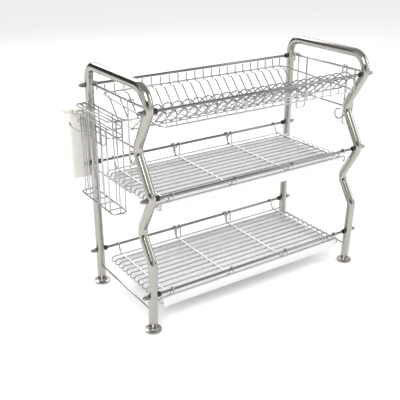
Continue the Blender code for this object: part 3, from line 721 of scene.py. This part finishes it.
@dataclass
class Foot:
    """A round flange foot with a rubber pad under it and a collar round the leg.

    Attributes:
        node: Its CAD node.
    """

    node: str
    pad: float = 0.0012
    collar: float = 0.0022
    edge: float = 0.0008

    def build(self) -> None:
        """Builds the flange, its collar and the pad."""
        low, high = box(self.node)
        place = Vector(((low.x + high.x) / 2, (low.y + high.y) / 2, 0))
        radius = (high.x - low.x) / 2
        tube = LAYOUT.tube_radius
        steps = 48
        top = span("left_side_frame", 2)[0] - GAP
        flange = Shape()
        flange.turn(
            [
                (0, self.pad),
                (radius - self.edge, self.pad),
                (radius, self.pad + self.edge),
                (radius, top - self.edge),
                (radius - 0.3 * self.edge, top - 0.3 * self.edge),
                (radius - self.edge, top),
                (tube + 2 * self.collar, top),
                (tube + self.collar, top + 0.4 * self.collar),
                (tube + 0.7 * self.collar, top + 1.5 * self.collar),
                (tube + 0.3 * self.collar, top + 1.8 * self.collar),
                (tube - 0.0004, top + 1.8 * self.collar),
                (0, top + 1.6 * self.collar),
            ],
            place,
            UP,
            steps,
        )
        show(flange, self.node, BRUSHED_TUBE)
        pad = Shape()
        rim = radius - 0.0004
        section = [(0, 0), (rim - 0.0006, 0), (rim, 0.0005), (rim, self.pad), (0, self.pad)]
        pad.turn(section, place, UP, steps)
        show(pad, self.node, BLACK_COLLAR, self.node + "_pad_look")


@dataclass
class CrossRod:
    """A rod with its two collars and two cap nuts.

    Attributes:
        name: The tier and end, such as top_rear.
    """

    name: str
    nut_hex_share: float = 0.42

    def build(self) -> None:
        """Builds the rod and what is on it."""
        low, high = box(f"{self.name}_rod")
        middle = (low + high) / 2
        shape = Shape()
        ends = [Vector((x, middle.y, middle.z)) for x in (low.x, high.x)]
        shape.sweep(ends, LAYOUT.rod_radius, 16, end=End.FLAT)
        show(shape, f"{self.name}_rod", DARK_ROD)
        for side in Side:
            self._cap_nut(side)
            self._collar(side)

    def _cap_nut(self, side: Side) -> None:
        """A hexagon nut with a flange washer and a dome."""
        node = f"{side.word}_{self.name}_cap_nut"
        low, high = box(node)
        middle = (low + high) / 2
        axis = Vector((side.value, 0, 0))
        inner = low.x if side is Side.RIGHT else high.x
        place = Vector((inner, middle.y, middle.z))
        length = high.x - low.x
        radius = (high.z - low.z) / 2
        washer = 0.0012
        across = length * self.nut_hex_share
        dome = radius * 0.80
        skirt = 0.15
        shape = Shape()
        section = [
            (0, 0),
            (radius - 0.0003, 0),
            (radius, 0.0004),
            (radius, washer),
            (radius - 0.0005, washer + 0.0003),
            (0, washer + 0.0003),
        ]
        shape.turn(section, place, axis)
        shape.prism(6, radius * 0.98, across, 0.0005, place + axis * washer, axis)
        base = washer + across
        rise = length - base
        profile = [(0, base - 0.001), (dome, base - 0.001), (dome, base + skirt * rise)]
        steps = 6
        for step in range(1, steps + 1):
            angle = math.pi / 2 * step / steps
            crown = (skirt + (1 - skirt) * math.sin(angle)) * rise
            profile.append((dome * math.cos(angle), base + crown))
        shape.turn(profile, place, axis, 28)
        show(shape, node, DARK_ROD)

    def _collar(self, side: Side) -> None:
        """A black push-on collar with a groove round its middle."""
        node = f"{side.word}_{self.name}_collar"
        low, high = box(node)
        middle = (low + high) / 2
        length = high.x - low.x
        radius = (high.z - low.z) / 2
        bore = LAYOUT.rod_radius + 0.00005
        edge = 0.0008
        groove = 0.0006
        section = [
            (bore, 0),
            (radius - edge, 0),
            (radius - 0.3 * edge, 0.3 * edge),
            (radius, edge),
            (radius, 0.4 * length),
            (radius - groove, 0.45 * length),
            (radius - groove, 0.55 * length),
            (radius, 0.6 * length),
            (radius, length - edge),
            (radius - 0.3 * edge, length - 0.3 * edge),
            (radius - edge, length),
            (bore, length),
            (bore, 0),
        ]
        shape = Shape()
        shape.turn(section, Vector((low.x, middle.y, middle.z)), Vector((1, 0, 0)))
        show(shape, node, BLACK_COLLAR)


# ---------------------------------------------------------------------------------------------------
# Plate rack and shelves
# ---------------------------------------------------------------------------------------------------


@dataclass
class PlateRack:
    """The welded top tier.

    Attributes:
        slots: Number of plate wires.
        pitch: Their spacing.
    """

    slots: int = 22
    pitch: float = 0.0225
    wire: float = 0.0015
    rim_wire: float = 0.0018
    rim_half: float = 0.244
    rim_corner: float = 0.016
    rear_rim_drop: float = 0.023
    front_rim_drop: float = 0.033
    trough_drop: float = 0.070
    trough_rear: float = 0.058
    trough_front: float = 0.118
    crest_back: float = 0.029
    crest_rise: float = 0.003
    arch_back: float = 0.038
    overlap: float = 0.0012

    def build(self) -> None:
        """Builds every wire, with beads where the plate wires and arches meet the others."""
        top = LAYOUT.tier("top")
        front = -LAYOUT.rods["top_front"][0]
        wire = self.wire
        rest = LAYOUT.rod_radius + GAP + wire
        wire_top = top - rest
        trough = top - self.trough_drop
        shoulder = top - self.rear_rim_drop - 0.003
        crest = front - self.crest_back
        slope = math.radians(20)
        plate_wire = [
            (0, wire_top, 0),
            (0, shoulder, 0.008),
            (-0.018, shoulder, 0.010),
            (-self.trough_rear, trough, 0.010),
            (-self.trough_front, trough, 0.012),
            (-crest + 0.012, top - 0.003, 0.030),
            (-crest - 0.006, top + self.crest_rise + 0.002, 0.018),
            (-front + rest * math.cos(slope), top - rest * math.sin(slope), 0),
        ]
        foot = top - self.front_rim_drop
        picket = front + 0.003
        arch = [
            (-picket, foot - 0.0005, 0),
            (-picket, wire_top - 0.0015, 0.006),
            (-front + 0.010, wire_top - 0.0015, 0.010),
            (-front + self.arch_back, foot, 0),
        ]
        long_wires = (
            (-self.trough_rear, trough - self.overlap),
            (-self.trough_front, trough - self.overlap),
            (-front + self.arch_back, foot - self.overlap),
        )
        shape = Shape()
        places = [(slot - (self.slots - 1) / 2) * self.pitch for slot in range(self.slots)]
        for x in places:
            for corners in (plate_wire, arch):
                shape.sweep(bent([((x, y, z), bend) for y, z, bend in corners], 5), wire, 8)
            for y, z in long_wires:
                shape.bead(LAYOUT.place(x, y, z + 0.5 * self.overlap), wire * SMALL_BEAD)
            shape.bead(LAYOUT.place(x, -picket + 0.5 * self.overlap, foot), wire * BEAD)
            shape.bead(LAYOUT.place(x, 0.5 * self.overlap, top - self.rear_rim_drop), wire * BEAD)
        reach = places[-1] + 0.005
        for y, z in long_wires:
            shape.sweep([LAYOUT.place(-reach, y, z), LAYOUT.place(reach, y, z)], wire, 8)
        rim_rear = (self.overlap, top - self.rear_rim_drop)
        rim_front = (-picket + self.overlap, foot)
        half = self.rim_half
        rim = ((-half, *rim_rear), (half, *rim_rear), (half, *rim_front), (-half, *rim_front))
        corners = [LAYOUT.place(*corner) for corner in rim]
        shape.sweep(loop(corners, self.rim_corner), self.rim_wire, 10, closed=True)
        show(shape, "plate_rack", POLISHED_WIRE)


@dataclass
class Shelf:
    """A wire shelf that hooks over its two rods and carries a tray in its hairpin ends.

    Attributes:
        tier: The tier's name.
    """

    tier: str
    wire: float = 0.0015
    cross_wire: float = 0.0016
    cross_at: tuple[float, ...] = (-0.225, -0.075, 0.075, 0.225)
    count: int = 13
    pitch: float = 0.0178
    rear_wire: float = 0.016
    drop: float = 0.018
    half_length: float = 0.250
    hairpin: float = 0.007
    hairpin_leg: float = 0.007
    hook_drop: float = 0.005
    overlap: float = 0.0012
    clip_at: tuple[float, ...] = (-0.064, 0.086)
    link_drop: float = 0.008
    link_bend: float = 0.003

    @staticmethod
    def _hook(rod_y: float, height: float, radius: float, start: float, stop: float) -> list[tuple]:
        """Corners round a rod from one angle to another, in degrees from +Y."""
        steps = 10
        points = []
        for step in range(steps + 1):
            angle = math.radians(start + (stop - start) * step / steps)
            points.append((rod_y + radius * math.cos(angle), height + radius * math.sin(angle), 0))
        return points

    def build(self) -> None:
        """Builds the long wires, the cross wires, the weld beads and the clips over the rear rod."""
        height = LAYOUT.tier(self.tier)
        front = -LAYOUT.rods[f"{self.tier}_front"][0]
        low = height - self.drop - self.wire - self.cross_wire + self.overlap
        plane = height - self.drop
        pin = self.hairpin
        bend = 0.98 * pin
        leg = self.half_length - pin - self.hairpin_leg
        shape = Shape()
        rows = [-(self.rear_wire + self.pitch * row) for row in range(self.count)]
        for y in rows:
            corners = [
                (-leg, low - 2 * pin, 0),
                (-self.half_length, low - 2 * pin, bend),
                (-self.half_length, low, bend),
                (self.half_length, low, bend),
                (self.half_length, low - 2 * pin, bend),
                (leg, low - 2 * pin, 0),
            ]
            shape.sweep(bent([((x, y, z), radius) for x, z, radius in corners], 6), self.wire, 8)
        radius = LAYOUT.rod_radius + GAP + self.cross_wire
        path = [
            (radius, height - self.hook_drop / 2, 0),
            *self._hook(0, height, radius, 0, 180),
            (rows[0] + 0.004, plane, 0.006),
            (rows[-1] - 0.003, plane, 0.006),
            *self._hook(-front, height, radius, 20, 180),
            (-front - radius, height - self.hook_drop, 0),
        ]
        for x in self.cross_at:
            shape.sweep(bent([((x, y, z), bend) for y, z, bend in path], 4), self.cross_wire, 8)
            for y in rows:
                shape.bead(LAYOUT.place(x, y, (low + plane) / 2), self.wire * BEAD)
        show(shape, f"{self.tier}_shelf", POLISHED_WIRE)
        for number, x in enumerate(self.clip_at, 1):
            self._clip(number, x, height)

    def _clip(self, number: int, x: float, height: float) -> None:
        """A wire bent into two hooks over the rear rod."""
        node = f"{self.tier}_rear_clip_{number}"
        low, high = span(node, 0)
        bottom = span(node, 2)[0] + self.wire
        radius = LAYOUT.rod_radius + GAP + self.wire
        halves = []
        for offset in (low + self.wire, high - self.wire):
            hook = [((offset, y, z), 0) for y, z, _ in self._hook(0, height, radius, 0, 180)]
            link = ((offset, radius, height - self.link_drop), self.link_bend)
            halves.append([link, *hook, ((offset, -radius, bottom), 0)])
        shape = Shape()
        shape.sweep(bent([*reversed(halves[0]), *halves[1]], 5), self.wire, 10)
        show(shape, node, POLISHED_WIRE)


@dataclass
class DripTray:
    """A moulded tray with side flanges and a tall front edge.

    Attributes:
        tier: The tier whose shelf carries it.
    """

    tier: str
    sheet: float = 0.0015
    depth: float = 0.011
    corner: float = 0.008
    edge: float = 0.0025

    def build(self) -> None:
        """Builds the basin through its levels, then its front."""
        node = f"{self.tier}_drip_tray"
        (x_low, x_high), (y_low, y_high), (z_low, z_high) = (span(node, axis) for axis in range(3))
        flange = z_low + self.depth
        shelf = Shelf(self.tier)
        body_half = shelf.half_length - shelf.hairpin - shelf.hairpin_leg - 0.002
        front = y_low + self.sheet / 2
        middle = LAYOUT.place((x_low + x_high) / 2, (front + y_high) / 2, 0)
        centre = (middle.x, middle.y)
        half_y = (y_high - front) / 2
        wide = (x_high - x_low) / 2
        sheet, edge = self.sheet, self.edge

        def level(half_x: float, inset: float, z: float, corner: float) -> Station:
            """One level of the tray."""
            return Station(centre, (half_x, half_y - inset), corner, z)

        def inner(inset: float, z: float) -> Station:
            """One level of the basin's inside, narrowed by an inset."""
            return level(body_half - inset, inset, z, self.corner - sheet)

        stations = [
            level(body_half - edge, edge, z_low, self.corner - edge),
            level(body_half - 0.3 * edge, 0.3 * edge, z_low + 0.3 * edge, self.corner),
            level(body_half, 0, z_low + edge, self.corner),
            level(body_half, 0, flange - sheet, self.corner),
            level(wide - 0.0003, 0, flange - sheet, self.corner),
            level(wide, 0, flange - 0.7 * sheet, self.corner),
            level(wide, 0, flange - 0.3 * sheet, self.corner),
            level(wide - 0.0003, 0, flange, self.corner),
            inner(sheet, flange),
            inner(sheet + 0.0004, flange - 0.0006),
            inner(sheet + 0.0004, z_low + sheet + edge),
            inner(sheet + 0.3 * edge, z_low + sheet + 0.3 * edge),
            inner(sheet + edge, z_low + sheet),
        ]
        shape = Shape()
        shape.loft(stations)
        bevel = 0.0006
        shape.block(LAYOUT.place(x_low, y_low, z_low), LAYOUT.place(x_high, y_low + sheet, z_high), bevel)
        show(shape, node, WHITE_TRAY, angle=MOULDED_ANGLE)


# ---------------------------------------------------------------------------------------------------
# What hangs on the sides
# ---------------------------------------------------------------------------------------------------


@dataclass
class CutleryBasket:
    """The wire basket on the left rail, with its hanger, side bar and the cup's arm."""

    wire: float = 0.0019
    thin: float = 0.0015
    standoff: float = 0.0135
    width: float = 0.031
    length: float = 0.150
    rear: float = 0.024
    top: float = 0.434
    ring_1: float = 0.419
    ring_2: float = 0.402
    bottom: float = 0.246
    corner: float = 0.009
    bars: int = 6
    bar_pitch: float = 0.0226
    bar_from_front: float = 0.015
    tall_from_end: float = 0.045
    floor_from_front: tuple[float, ...] = (0.026, 0.063)
    floor_from_rear: tuple[float, ...] = (0.058, 0.023)
    hanger_bottom: float = 0.286
    low_link: float = 0.300
    link_inset: float = 0.010
    hanger_standoff: float = 0.0065
    hook_tip: float = 0.0125
    bar_standoff: float = 0.006
    bar_height: float = 0.386
    bar_rear: float = 0.002
    side_bar_from_front: float = 0.005
    stay_from_front: float = 0.030
    arm_height: float = 0.410
    arm_reach: float = 0.0105
    arm_overhang: float = 0.004
    arm_bend: float = 0.004

    @property
    def inner(self) -> float:
        """The basket's side towards the rack."""
        return -LAYOUT.frame_x - self.standoff

    @property
    def outer(self) -> float:
        """The basket's side away from the rack."""
        return self.inner - self.width

    @property
    def ends(self) -> tuple[float, float]:
        """Where the basket's front and rear are."""
        return -self.rear - self.length, -self.rear

    def _bar(self, shape: Shape, corners: Sequence[Corner], steps: int = 5) -> None:
        """Adds a thin bar with rounded corners, given in the rack's own measures."""
        shape.sweep(bent(corners, steps), self.thin, 10)

    def build(self) -> None:
        """Builds the basket's loops, uprights, hanger and arms as one welded piece."""
        front, rear = self.ends
        corners = [(self.inner, rear), (self.outer, rear), (self.outer, front), (self.inner, front)]
        wire, thin = self.wire, self.thin
        shape = Shape()
        for z, radius in ((self.top, wire), (self.bottom, wire), (self.ring_1, thin), (self.ring_2, thin)):
            path = loop([LAYOUT.place(x, y, z) for x, y in corners], self.corner)
            shape.sweep(path, radius, 10, closed=True)
        self._uprights(shape)
        self._top_and_floor(shape)
        self._side_bar(shape)
        self._cup_arm(shape)
        self._hanger(shape)
        show(shape, "cutlery_basket", POLISHED_WIRE)

    def _uprights(self, shape: Shape) -> None:
        """The upright wires, welded to the rings inside and out."""
        inner, outer = self.inner, self.outer
        front, rear = self.ends
        inset = 0.0008
        corner_inset = 0.0026
        for number in range(self.bars):
            y = front + self.bar_from_front + self.bar_pitch * number
            x = outer + inset
            self._bar(shape, [((x, y, self.ring_1 + 0.001), 0), ((x, y, self.bottom), 0)])
            for z in (self.ring_1, self.ring_2, self.bottom):
                shape.bead(LAYOUT.place(outer + inset / 2, y, z), self.thin * SMALL_BEAD)
        tall = [
            (inner - inset, front + self.tall_from_end),
            (inner - inset, rear - self.tall_from_end),
            ((inner + outer) / 2, front + inset),
            ((inner + outer) / 2, rear - inset),
            (inner - corner_inset, front + corner_inset),
            (inner - corner_inset, rear - corner_inset),
        ]
        for x, y in tall:
            self._bar(shape, [((x, y, self.top), 0), ((x, y, self.bottom), 0)])
            for z in (self.top, self.ring_1, self.ring_2, self.bottom):
                shape.bead(LAYOUT.place(x, y, z), self.thin * SMALL_BEAD)

    def _top_and_floor(self, shape: Shape) -> None:
        """The two wires that part the top into three slots, and the floor wires."""
        front, rear = self.ends
        for share in (1, 2):
            x = self.inner - self.width * share / 3
            z = self.top - 0.001
            self._bar(shape, [((x, rear, z), 0), ((x, front, z), 0)])
            for y in (rear, front):
                shape.bead(LAYOUT.place(x, y, z + 0.0005), self.thin * 1.2)
        z = self.bottom - 0.0007
        floor = [front + inset for inset in self.floor_from_front]
        floor += [rear - inset for inset in self.floor_from_rear]
        for y in floor:
            self._bar(shape, [((self.inner, y, z), 0), ((self.outer, y, z), 0)])

    def _side_bar(self, shape: Shape) -> None:
        """The bar along the outside of the basket, held by its own bent front end and a stay."""
        front, _ = self.ends
        outer = self.outer
        x = outer - self.bar_standoff
        first = front + self.side_bar_from_front
        second = front + self.stay_from_front
        bar = [
            ((outer + 0.001, first, self.ring_1), 0),
            ((x, first, self.ring_1), 0.003),
            ((x, first, self.bar_height), 0.012),
            ((x, -self.bar_rear - 0.008, self.bar_height), 0.005),
            ((x, -self.bar_rear, self.bar_height + 0.005), 0),
        ]
        stay = [
            ((outer + 0.001, second, self.ring_1), 0),
            ((x, second, self.ring_1), 0.003),
            ((x, second, self.bar_height - 0.0005), 0),
        ]
        self._bar(shape, bar, 8)
        self._bar(shape, stay)
        shape.bead(LAYOUT.place(x, second, self.bar_height), self.thin * BEAD)

    def _cup_arm(self, shape: Shape) -> None:
        """The loop behind the basket that the cup hooks over."""
        _, rear = self.ends
        near, far = self.inner - self.arm_overhang, self.outer + self.arm_overhang
        start = (rear + 0.001, self.ring_1 + 0.001)
        bend = (rear + 0.010, self.arm_height)
        arm = [
            ((near, *start), 0),
            ((near, *bend), self.arm_bend),
            ((near, self.arm_reach, self.arm_height), 0.003),
            ((far, self.arm_reach, self.arm_height), 0.003),
            ((far, *bend), self.arm_bend),
            ((far, *start), 0),
        ]
        self._bar(shape, arm)

    def _hanger(self, shape: Shape) -> None:
        """The frame that hooks over the side rail, and its links to the basket."""
        front, rear = self.ends
        rail_low, rail_high = span("left_rail", 2)
        rail_z = (rail_low + rail_high) / 2
        rail_radius = (rail_high - rail_low) / 2
        across = -LAYOUT.frame_x
        x = across - self.hanger_standoff
        inside = across + self.hanger_standoff
        over = rail_z + rail_radius + GAP + self.thin
        bend = self.hanger_standoff * 0.55
        ends = (front - 0.006, rear + 0.002)
        corners = []
        for y, order in zip(ends, (1, -1)):
            hook = [((inside, y, rail_z - self.hook_tip), 0), ((inside, y, over), bend), ((x, y, over), bend)]
            down = [((x, y, self.hanger_bottom), 0.006)]
            corners += (hook + down)[::order]
        self._bar(shape, corners, 6)
        for y, inward in zip(ends, (self.link_inset, -self.link_inset)):
            for z in (self.top, self.low_link):
                self._bar(shape, [((self.inner + 0.001, y + inward, z), 0), ((x, y, z), 0)])
                shape.bead(LAYOUT.place(x, y, z), self.thin * SMALL_BEAD)


@dataclass
class UtensilCup:
    """The moulded cup with a flared lip and a hook over the basket's arm."""

    wall: float = 0.0018
    corner: float = 0.009
    taper: float = 0.93
    lip: float = 0.0022
    lip_height: float = 0.008
    hook_width: float = 0.012
    height: float = 0.146
    depth: float = 0.038

    def build(self) -> None:
        """Builds the cup through its levels, then its hook."""
        node = "utensil_cup"
        (x_low, x_high), (_, y_high), (z_low, _) = (span(node, axis) for axis in range(3))
        top = z_low + self.height
        back = y_high - self.lip
        front = back - self.depth
        half_x = (x_high - x_low) / 2 - self.lip
        half_y = (back - front) / 2
        middle_x = (x_low + x_high) / 2
        wall, lip = self.wall, self.lip

        def level(z: float, inset: float) -> Station:
            """One level of the cup, which widens upwards."""
            share = (z - z_low) / self.height
            scale = self.taper + (1 - self.taper) * min(max(share, 0), 1)
            centre = LAYOUT.place(middle_x, front + half_y * scale, z)
            half = (half_x * scale - inset, half_y * scale - inset)
            return Station((centre.x, centre.y), half, self.corner - inset * 0.6, z)

        stations = [
            level(z_low, 0.004),
            level(z_low + 0.0006, 0.0015),
            level(z_low + 0.003, 0),
            level(top - self.lip_height - 0.004, 0),
            level(top - self.lip_height, -lip * 0.25),
            level(top - self.lip_height * 0.5, -lip * 0.7),
            level(top - 0.0008, -lip * 0.96),
            level(top - 0.0002, -lip * 0.8),
            level(top, -lip * 0.5),
            level(top - 0.0003, wall * 0.2),
            level(top - 0.002, wall * 0.6),
            level(top - self.lip_height, wall),
            level(z_low + wall + 0.003, wall),
            level(z_low + wall + 0.0006, wall + 0.0015),
            level(z_low + wall, wall + 0.004),
        ]
        shape = Shape()
        shape.loft(stations, 10)
        basket = CutleryBasket()
        hook_middle = basket.inner - basket.width / 2
        left, right = hook_middle - self.hook_width / 2, hook_middle + self.hook_width / 2
        arm = basket.thin + GAP
        near = basket.arm_reach - arm - wall
        over = basket.arm_height + arm + wall
        bevel = 0.0006
        for low_y, low_z, high_y in (
            (front, top - 0.006, front + wall),
            (near, over - wall, front + wall),
            (near, basket.arm_height - 0.005, near + wall),
        ):
            shape.block(LAYOUT.place(left, low_y, low_z), LAYOUT.place(right, high_y, over), bevel)
        show(shape, node, CREAM_CUP, angle=MOULDED_ANGLE)


@dataclass
class BoardHolder:
    """Two wire loops that hook over the right rail, joined by an outer rail."""

    wire: float = 0.002
    width: float = 0.028
    standoff: float = 0.0065
    hook_tip: float = 0.0125
    rear: float = 0.024
    front: float = 0.186
    bottom: float = 0.333
    top_drop: float = 0.010
    corner: float = 0.008

    def build(self) -> None:
        """Builds both loops and the rail."""
        rail_low, rail_high = span("right_rail", 2)
        rail_z = (rail_low + rail_high) / 2
        over = rail_high + GAP + self.wire
        inside = LAYOUT.frame_x - self.standoff
        inner = LAYOUT.frame_x + self.standoff
        outer = inner + self.width
        top = rail_z - self.top_drop
        bend = self.standoff * 0.6
        shape = Shape()
        for y in (-self.rear, -self.front):
            corners = [
                ((inside, y, rail_z - self.hook_tip), 0),
                ((inside, y, over), bend),
                ((inner, y, over), bend),
                ((inner, y, self.bottom), self.corner),
                ((outer, y, self.bottom), self.corner),
                ((outer, y, top + 0.0005), 0),
            ]
            shape.sweep(bent(corners, 8), self.wire, 12)
            shape.bead(LAYOUT.place(outer, y, top), self.wire * BEAD)
        rail = [LAYOUT.place(outer + 0.0004, y, top) for y in (-self.rear + 0.002, -self.front - 0.002)]
        shape.sweep(rail, self.wire, 12)
        show(shape, "board_holder", POLISHED_WIRE)


# ---------------------------------------------------------------------------------------------------
# Studio
# ---------------------------------------------------------------------------------------------------


@dataclass
class Softbox:
    """A rectangular area light aimed at the rack."""

    name: str
    place: tuple[float, float, float]
    size: tuple[float, float]
    power: float


@dataclass
class Studio:
    """Pale floor, soft lights, a banded surround for the steel to reflect, and the camera.

    Attributes:
        aim: The point that the lights look at.
        softboxes: The lights.
        floor_half: Half the floor's width.
        bands: (share of the way round, brightness) of the bands that the steel reflects.
    """

    aim: Vector = field(default_factory=lambda: Vector((0, 0, 0.25)))
    softboxes: tuple[Softbox, ...] = (
        Softbox("key_light", (-1.6, -1.5, 2.2), (1.4, 1.4), 42),
        Softbox("fill_light", (2.2, -1.2, 1.4), (1.2, 1.8), 22),
        Softbox("back_light", (0.4, 2.2, 1.9), (2.0, 1.0), 26),
    )
    floor_half: float = 30
    bands: tuple[tuple[float, float], ...] = (
        (0.00, 0.95),
        (0.09, 0.04),
        (0.17, 0.05),
        (0.24, 1.00),
        (0.34, 1.05),
        (0.41, 0.05),
        (0.50, 0.03),
        (0.57, 0.90),
        (0.68, 1.00),
        (0.76, 0.04),
        (0.86, 0.05),
        (0.93, 0.95),
    )

    def _floor(self) -> None:
        """A wide pale floor."""
        shape = Shape()
        half = self.floor_half
        corners = [Vector((x, y, 0)) for x, y in ((-half, -half), (half, -half), (half, half), (-half, half))]
        shape.mesh.faces.new([shape.mesh.verts.new(corner) for corner in corners])
        floor = shape.to_object("studio_floor", SMOOTH_ANGLE)
        made = bpy.data.materials.new("studio_white")
        made.use_nodes = True
        shader = made.node_tree.nodes["Principled BSDF"]
        shader.inputs["Base Color"].default_value = STUDIO_WHITE
        shader.inputs["Roughness"].default_value = 0.6
        shader.inputs["Specular IOR Level"].default_value = 0.2
        floor.data.materials.append(made)

    def _lights(self) -> None:
        """The softboxes."""
        for softbox in self.softboxes:
            data = bpy.data.lights.new(softbox.name, "AREA")
            data.shape = "RECTANGLE"
            data.size, data.size_y = softbox.size
            data.energy = softbox.power
            lamp = bpy.data.objects.new(softbox.name, data)
            lamp.location = softbox.place
            lamp.rotation_euler = (self.aim - lamp.location).to_track_quat("-Z", "Y").to_euler()
            bpy.context.scene.collection.objects.link(lamp)

    def _surround(self) -> None:
        """A white surround, with dark bands that only reflections see."""
        world = bpy.data.worlds.new("studio_surround")
        world.use_nodes = True
        nodes, links = world.node_tree.nodes, world.node_tree.links
        background = nodes["Background"]
        where = nodes.new("ShaderNodeTexCoord")
        split = nodes.new("ShaderNodeSeparateXYZ")
        bearing = math_node(nodes, "ARCTAN2")
        turn = math_node(nodes, "MULTIPLY_ADD")
        turn.inputs[1].default_value = 1 / (2 * math.pi)
        turn.inputs[2].default_value = 0.5
        bands = nodes.new("ShaderNodeValToRGB")
        bands.color_ramp.interpolation = "EASE"
        ramp = bands.color_ramp.elements
        while len(ramp) < len(self.bands):
            ramp.new(0.5)
        for element, (position, value) in zip(ramp, self.bands):
            element.position = position
            element.color = (value, value, value, 1)
        lift = nodes.new("ShaderNodeMapRange")
        lift.inputs["From Min"].default_value = 0.35
        lift.inputs["From Max"].default_value = 0.75
        above = nodes.new("ShaderNodeMix")
        above.data_type = "RGBA"
        above.inputs["B"].default_value = (0.42, 0.42, 0.41, 1)
        ray = nodes.new("ShaderNodeLightPath")
        pick = nodes.new("ShaderNodeMix")
        pick.data_type = "RGBA"
        pick.inputs["A"].default_value = STUDIO_WHITE
        links.new(where.outputs["Generated"], split.inputs[0])
        links.new(split.outputs["Y"], bearing.inputs[0])
        links.new(split.outputs["X"], bearing.inputs[1])
        links.new(bearing.outputs[0], turn.inputs[0])
        links.new(turn.outputs[0], bands.inputs["Fac"])
        links.new(split.outputs["Z"], lift.inputs["Value"])
        links.new(lift.outputs[0], above.inputs["Factor"])
        links.new(bands.outputs["Color"], above.inputs["A"])
        links.new(ray.outputs["Is Glossy Ray"], pick.inputs["Factor"])
        links.new(above.outputs["Result"], pick.inputs["B"])
        links.new(pick.outputs["Result"], background.inputs["Color"])
        background.inputs["Strength"].default_value = 1.0
        bpy.context.scene.world = world

    def _camera(self) -> None:
        """The camera, to the left of the front and a little above."""
        data = bpy.data.cameras.new("front_left_camera")
        data.lens = 60.05
        data.sensor_width = 36
        data.clip_end = 100
        camera = bpy.data.objects.new("front_left_camera", data)
        azimuth, elevation = math.radians(-33.61), math.radians(23.63)
        back = Vector(
            (
                math.sin(azimuth) * math.cos(elevation),
                -math.cos(azimuth) * math.cos(elevation),
                math.sin(elevation),
            )
        )
        camera.location = (-0.8204, -1.1486, 0.7951)
        camera.rotation_euler = back.to_track_quat("Z", "Y").to_euler()
        bpy.context.scene.collection.objects.link(camera)
        bpy.context.scene.camera = camera

    def build(self) -> None:
        """Builds the studio."""
        self._floor()
        self._lights()
        self._surround()
        self._camera()
        bpy.context.scene.view_settings.view_transform = "Standard"
        bpy.context.scene.view_settings.look = "None"


def build_rack() -> None:
    """Builds every visible piece of the rack."""
    for side in Side:
        SideFrame(side).build()
        for end in ("rear", "front"):
            Foot(f"{side.word}_{end}_foot").build()
    for name in LAYOUT.rods:
        CrossRod(name).build()
    PlateRack().build()
    for tier in ("middle", "bottom"):
        Shelf(tier).build()
        DripTray(tier).build()
    CutleryBasket().build()
    UtensilCup().build()
    BoardHolder().build()


def main() -> None:
    """Builds the rack and the studio round it."""
    logging.basicConfig(level=logging.INFO)
    build_rack()
    Studio().build()


if __name__ == "__main__":
    main()
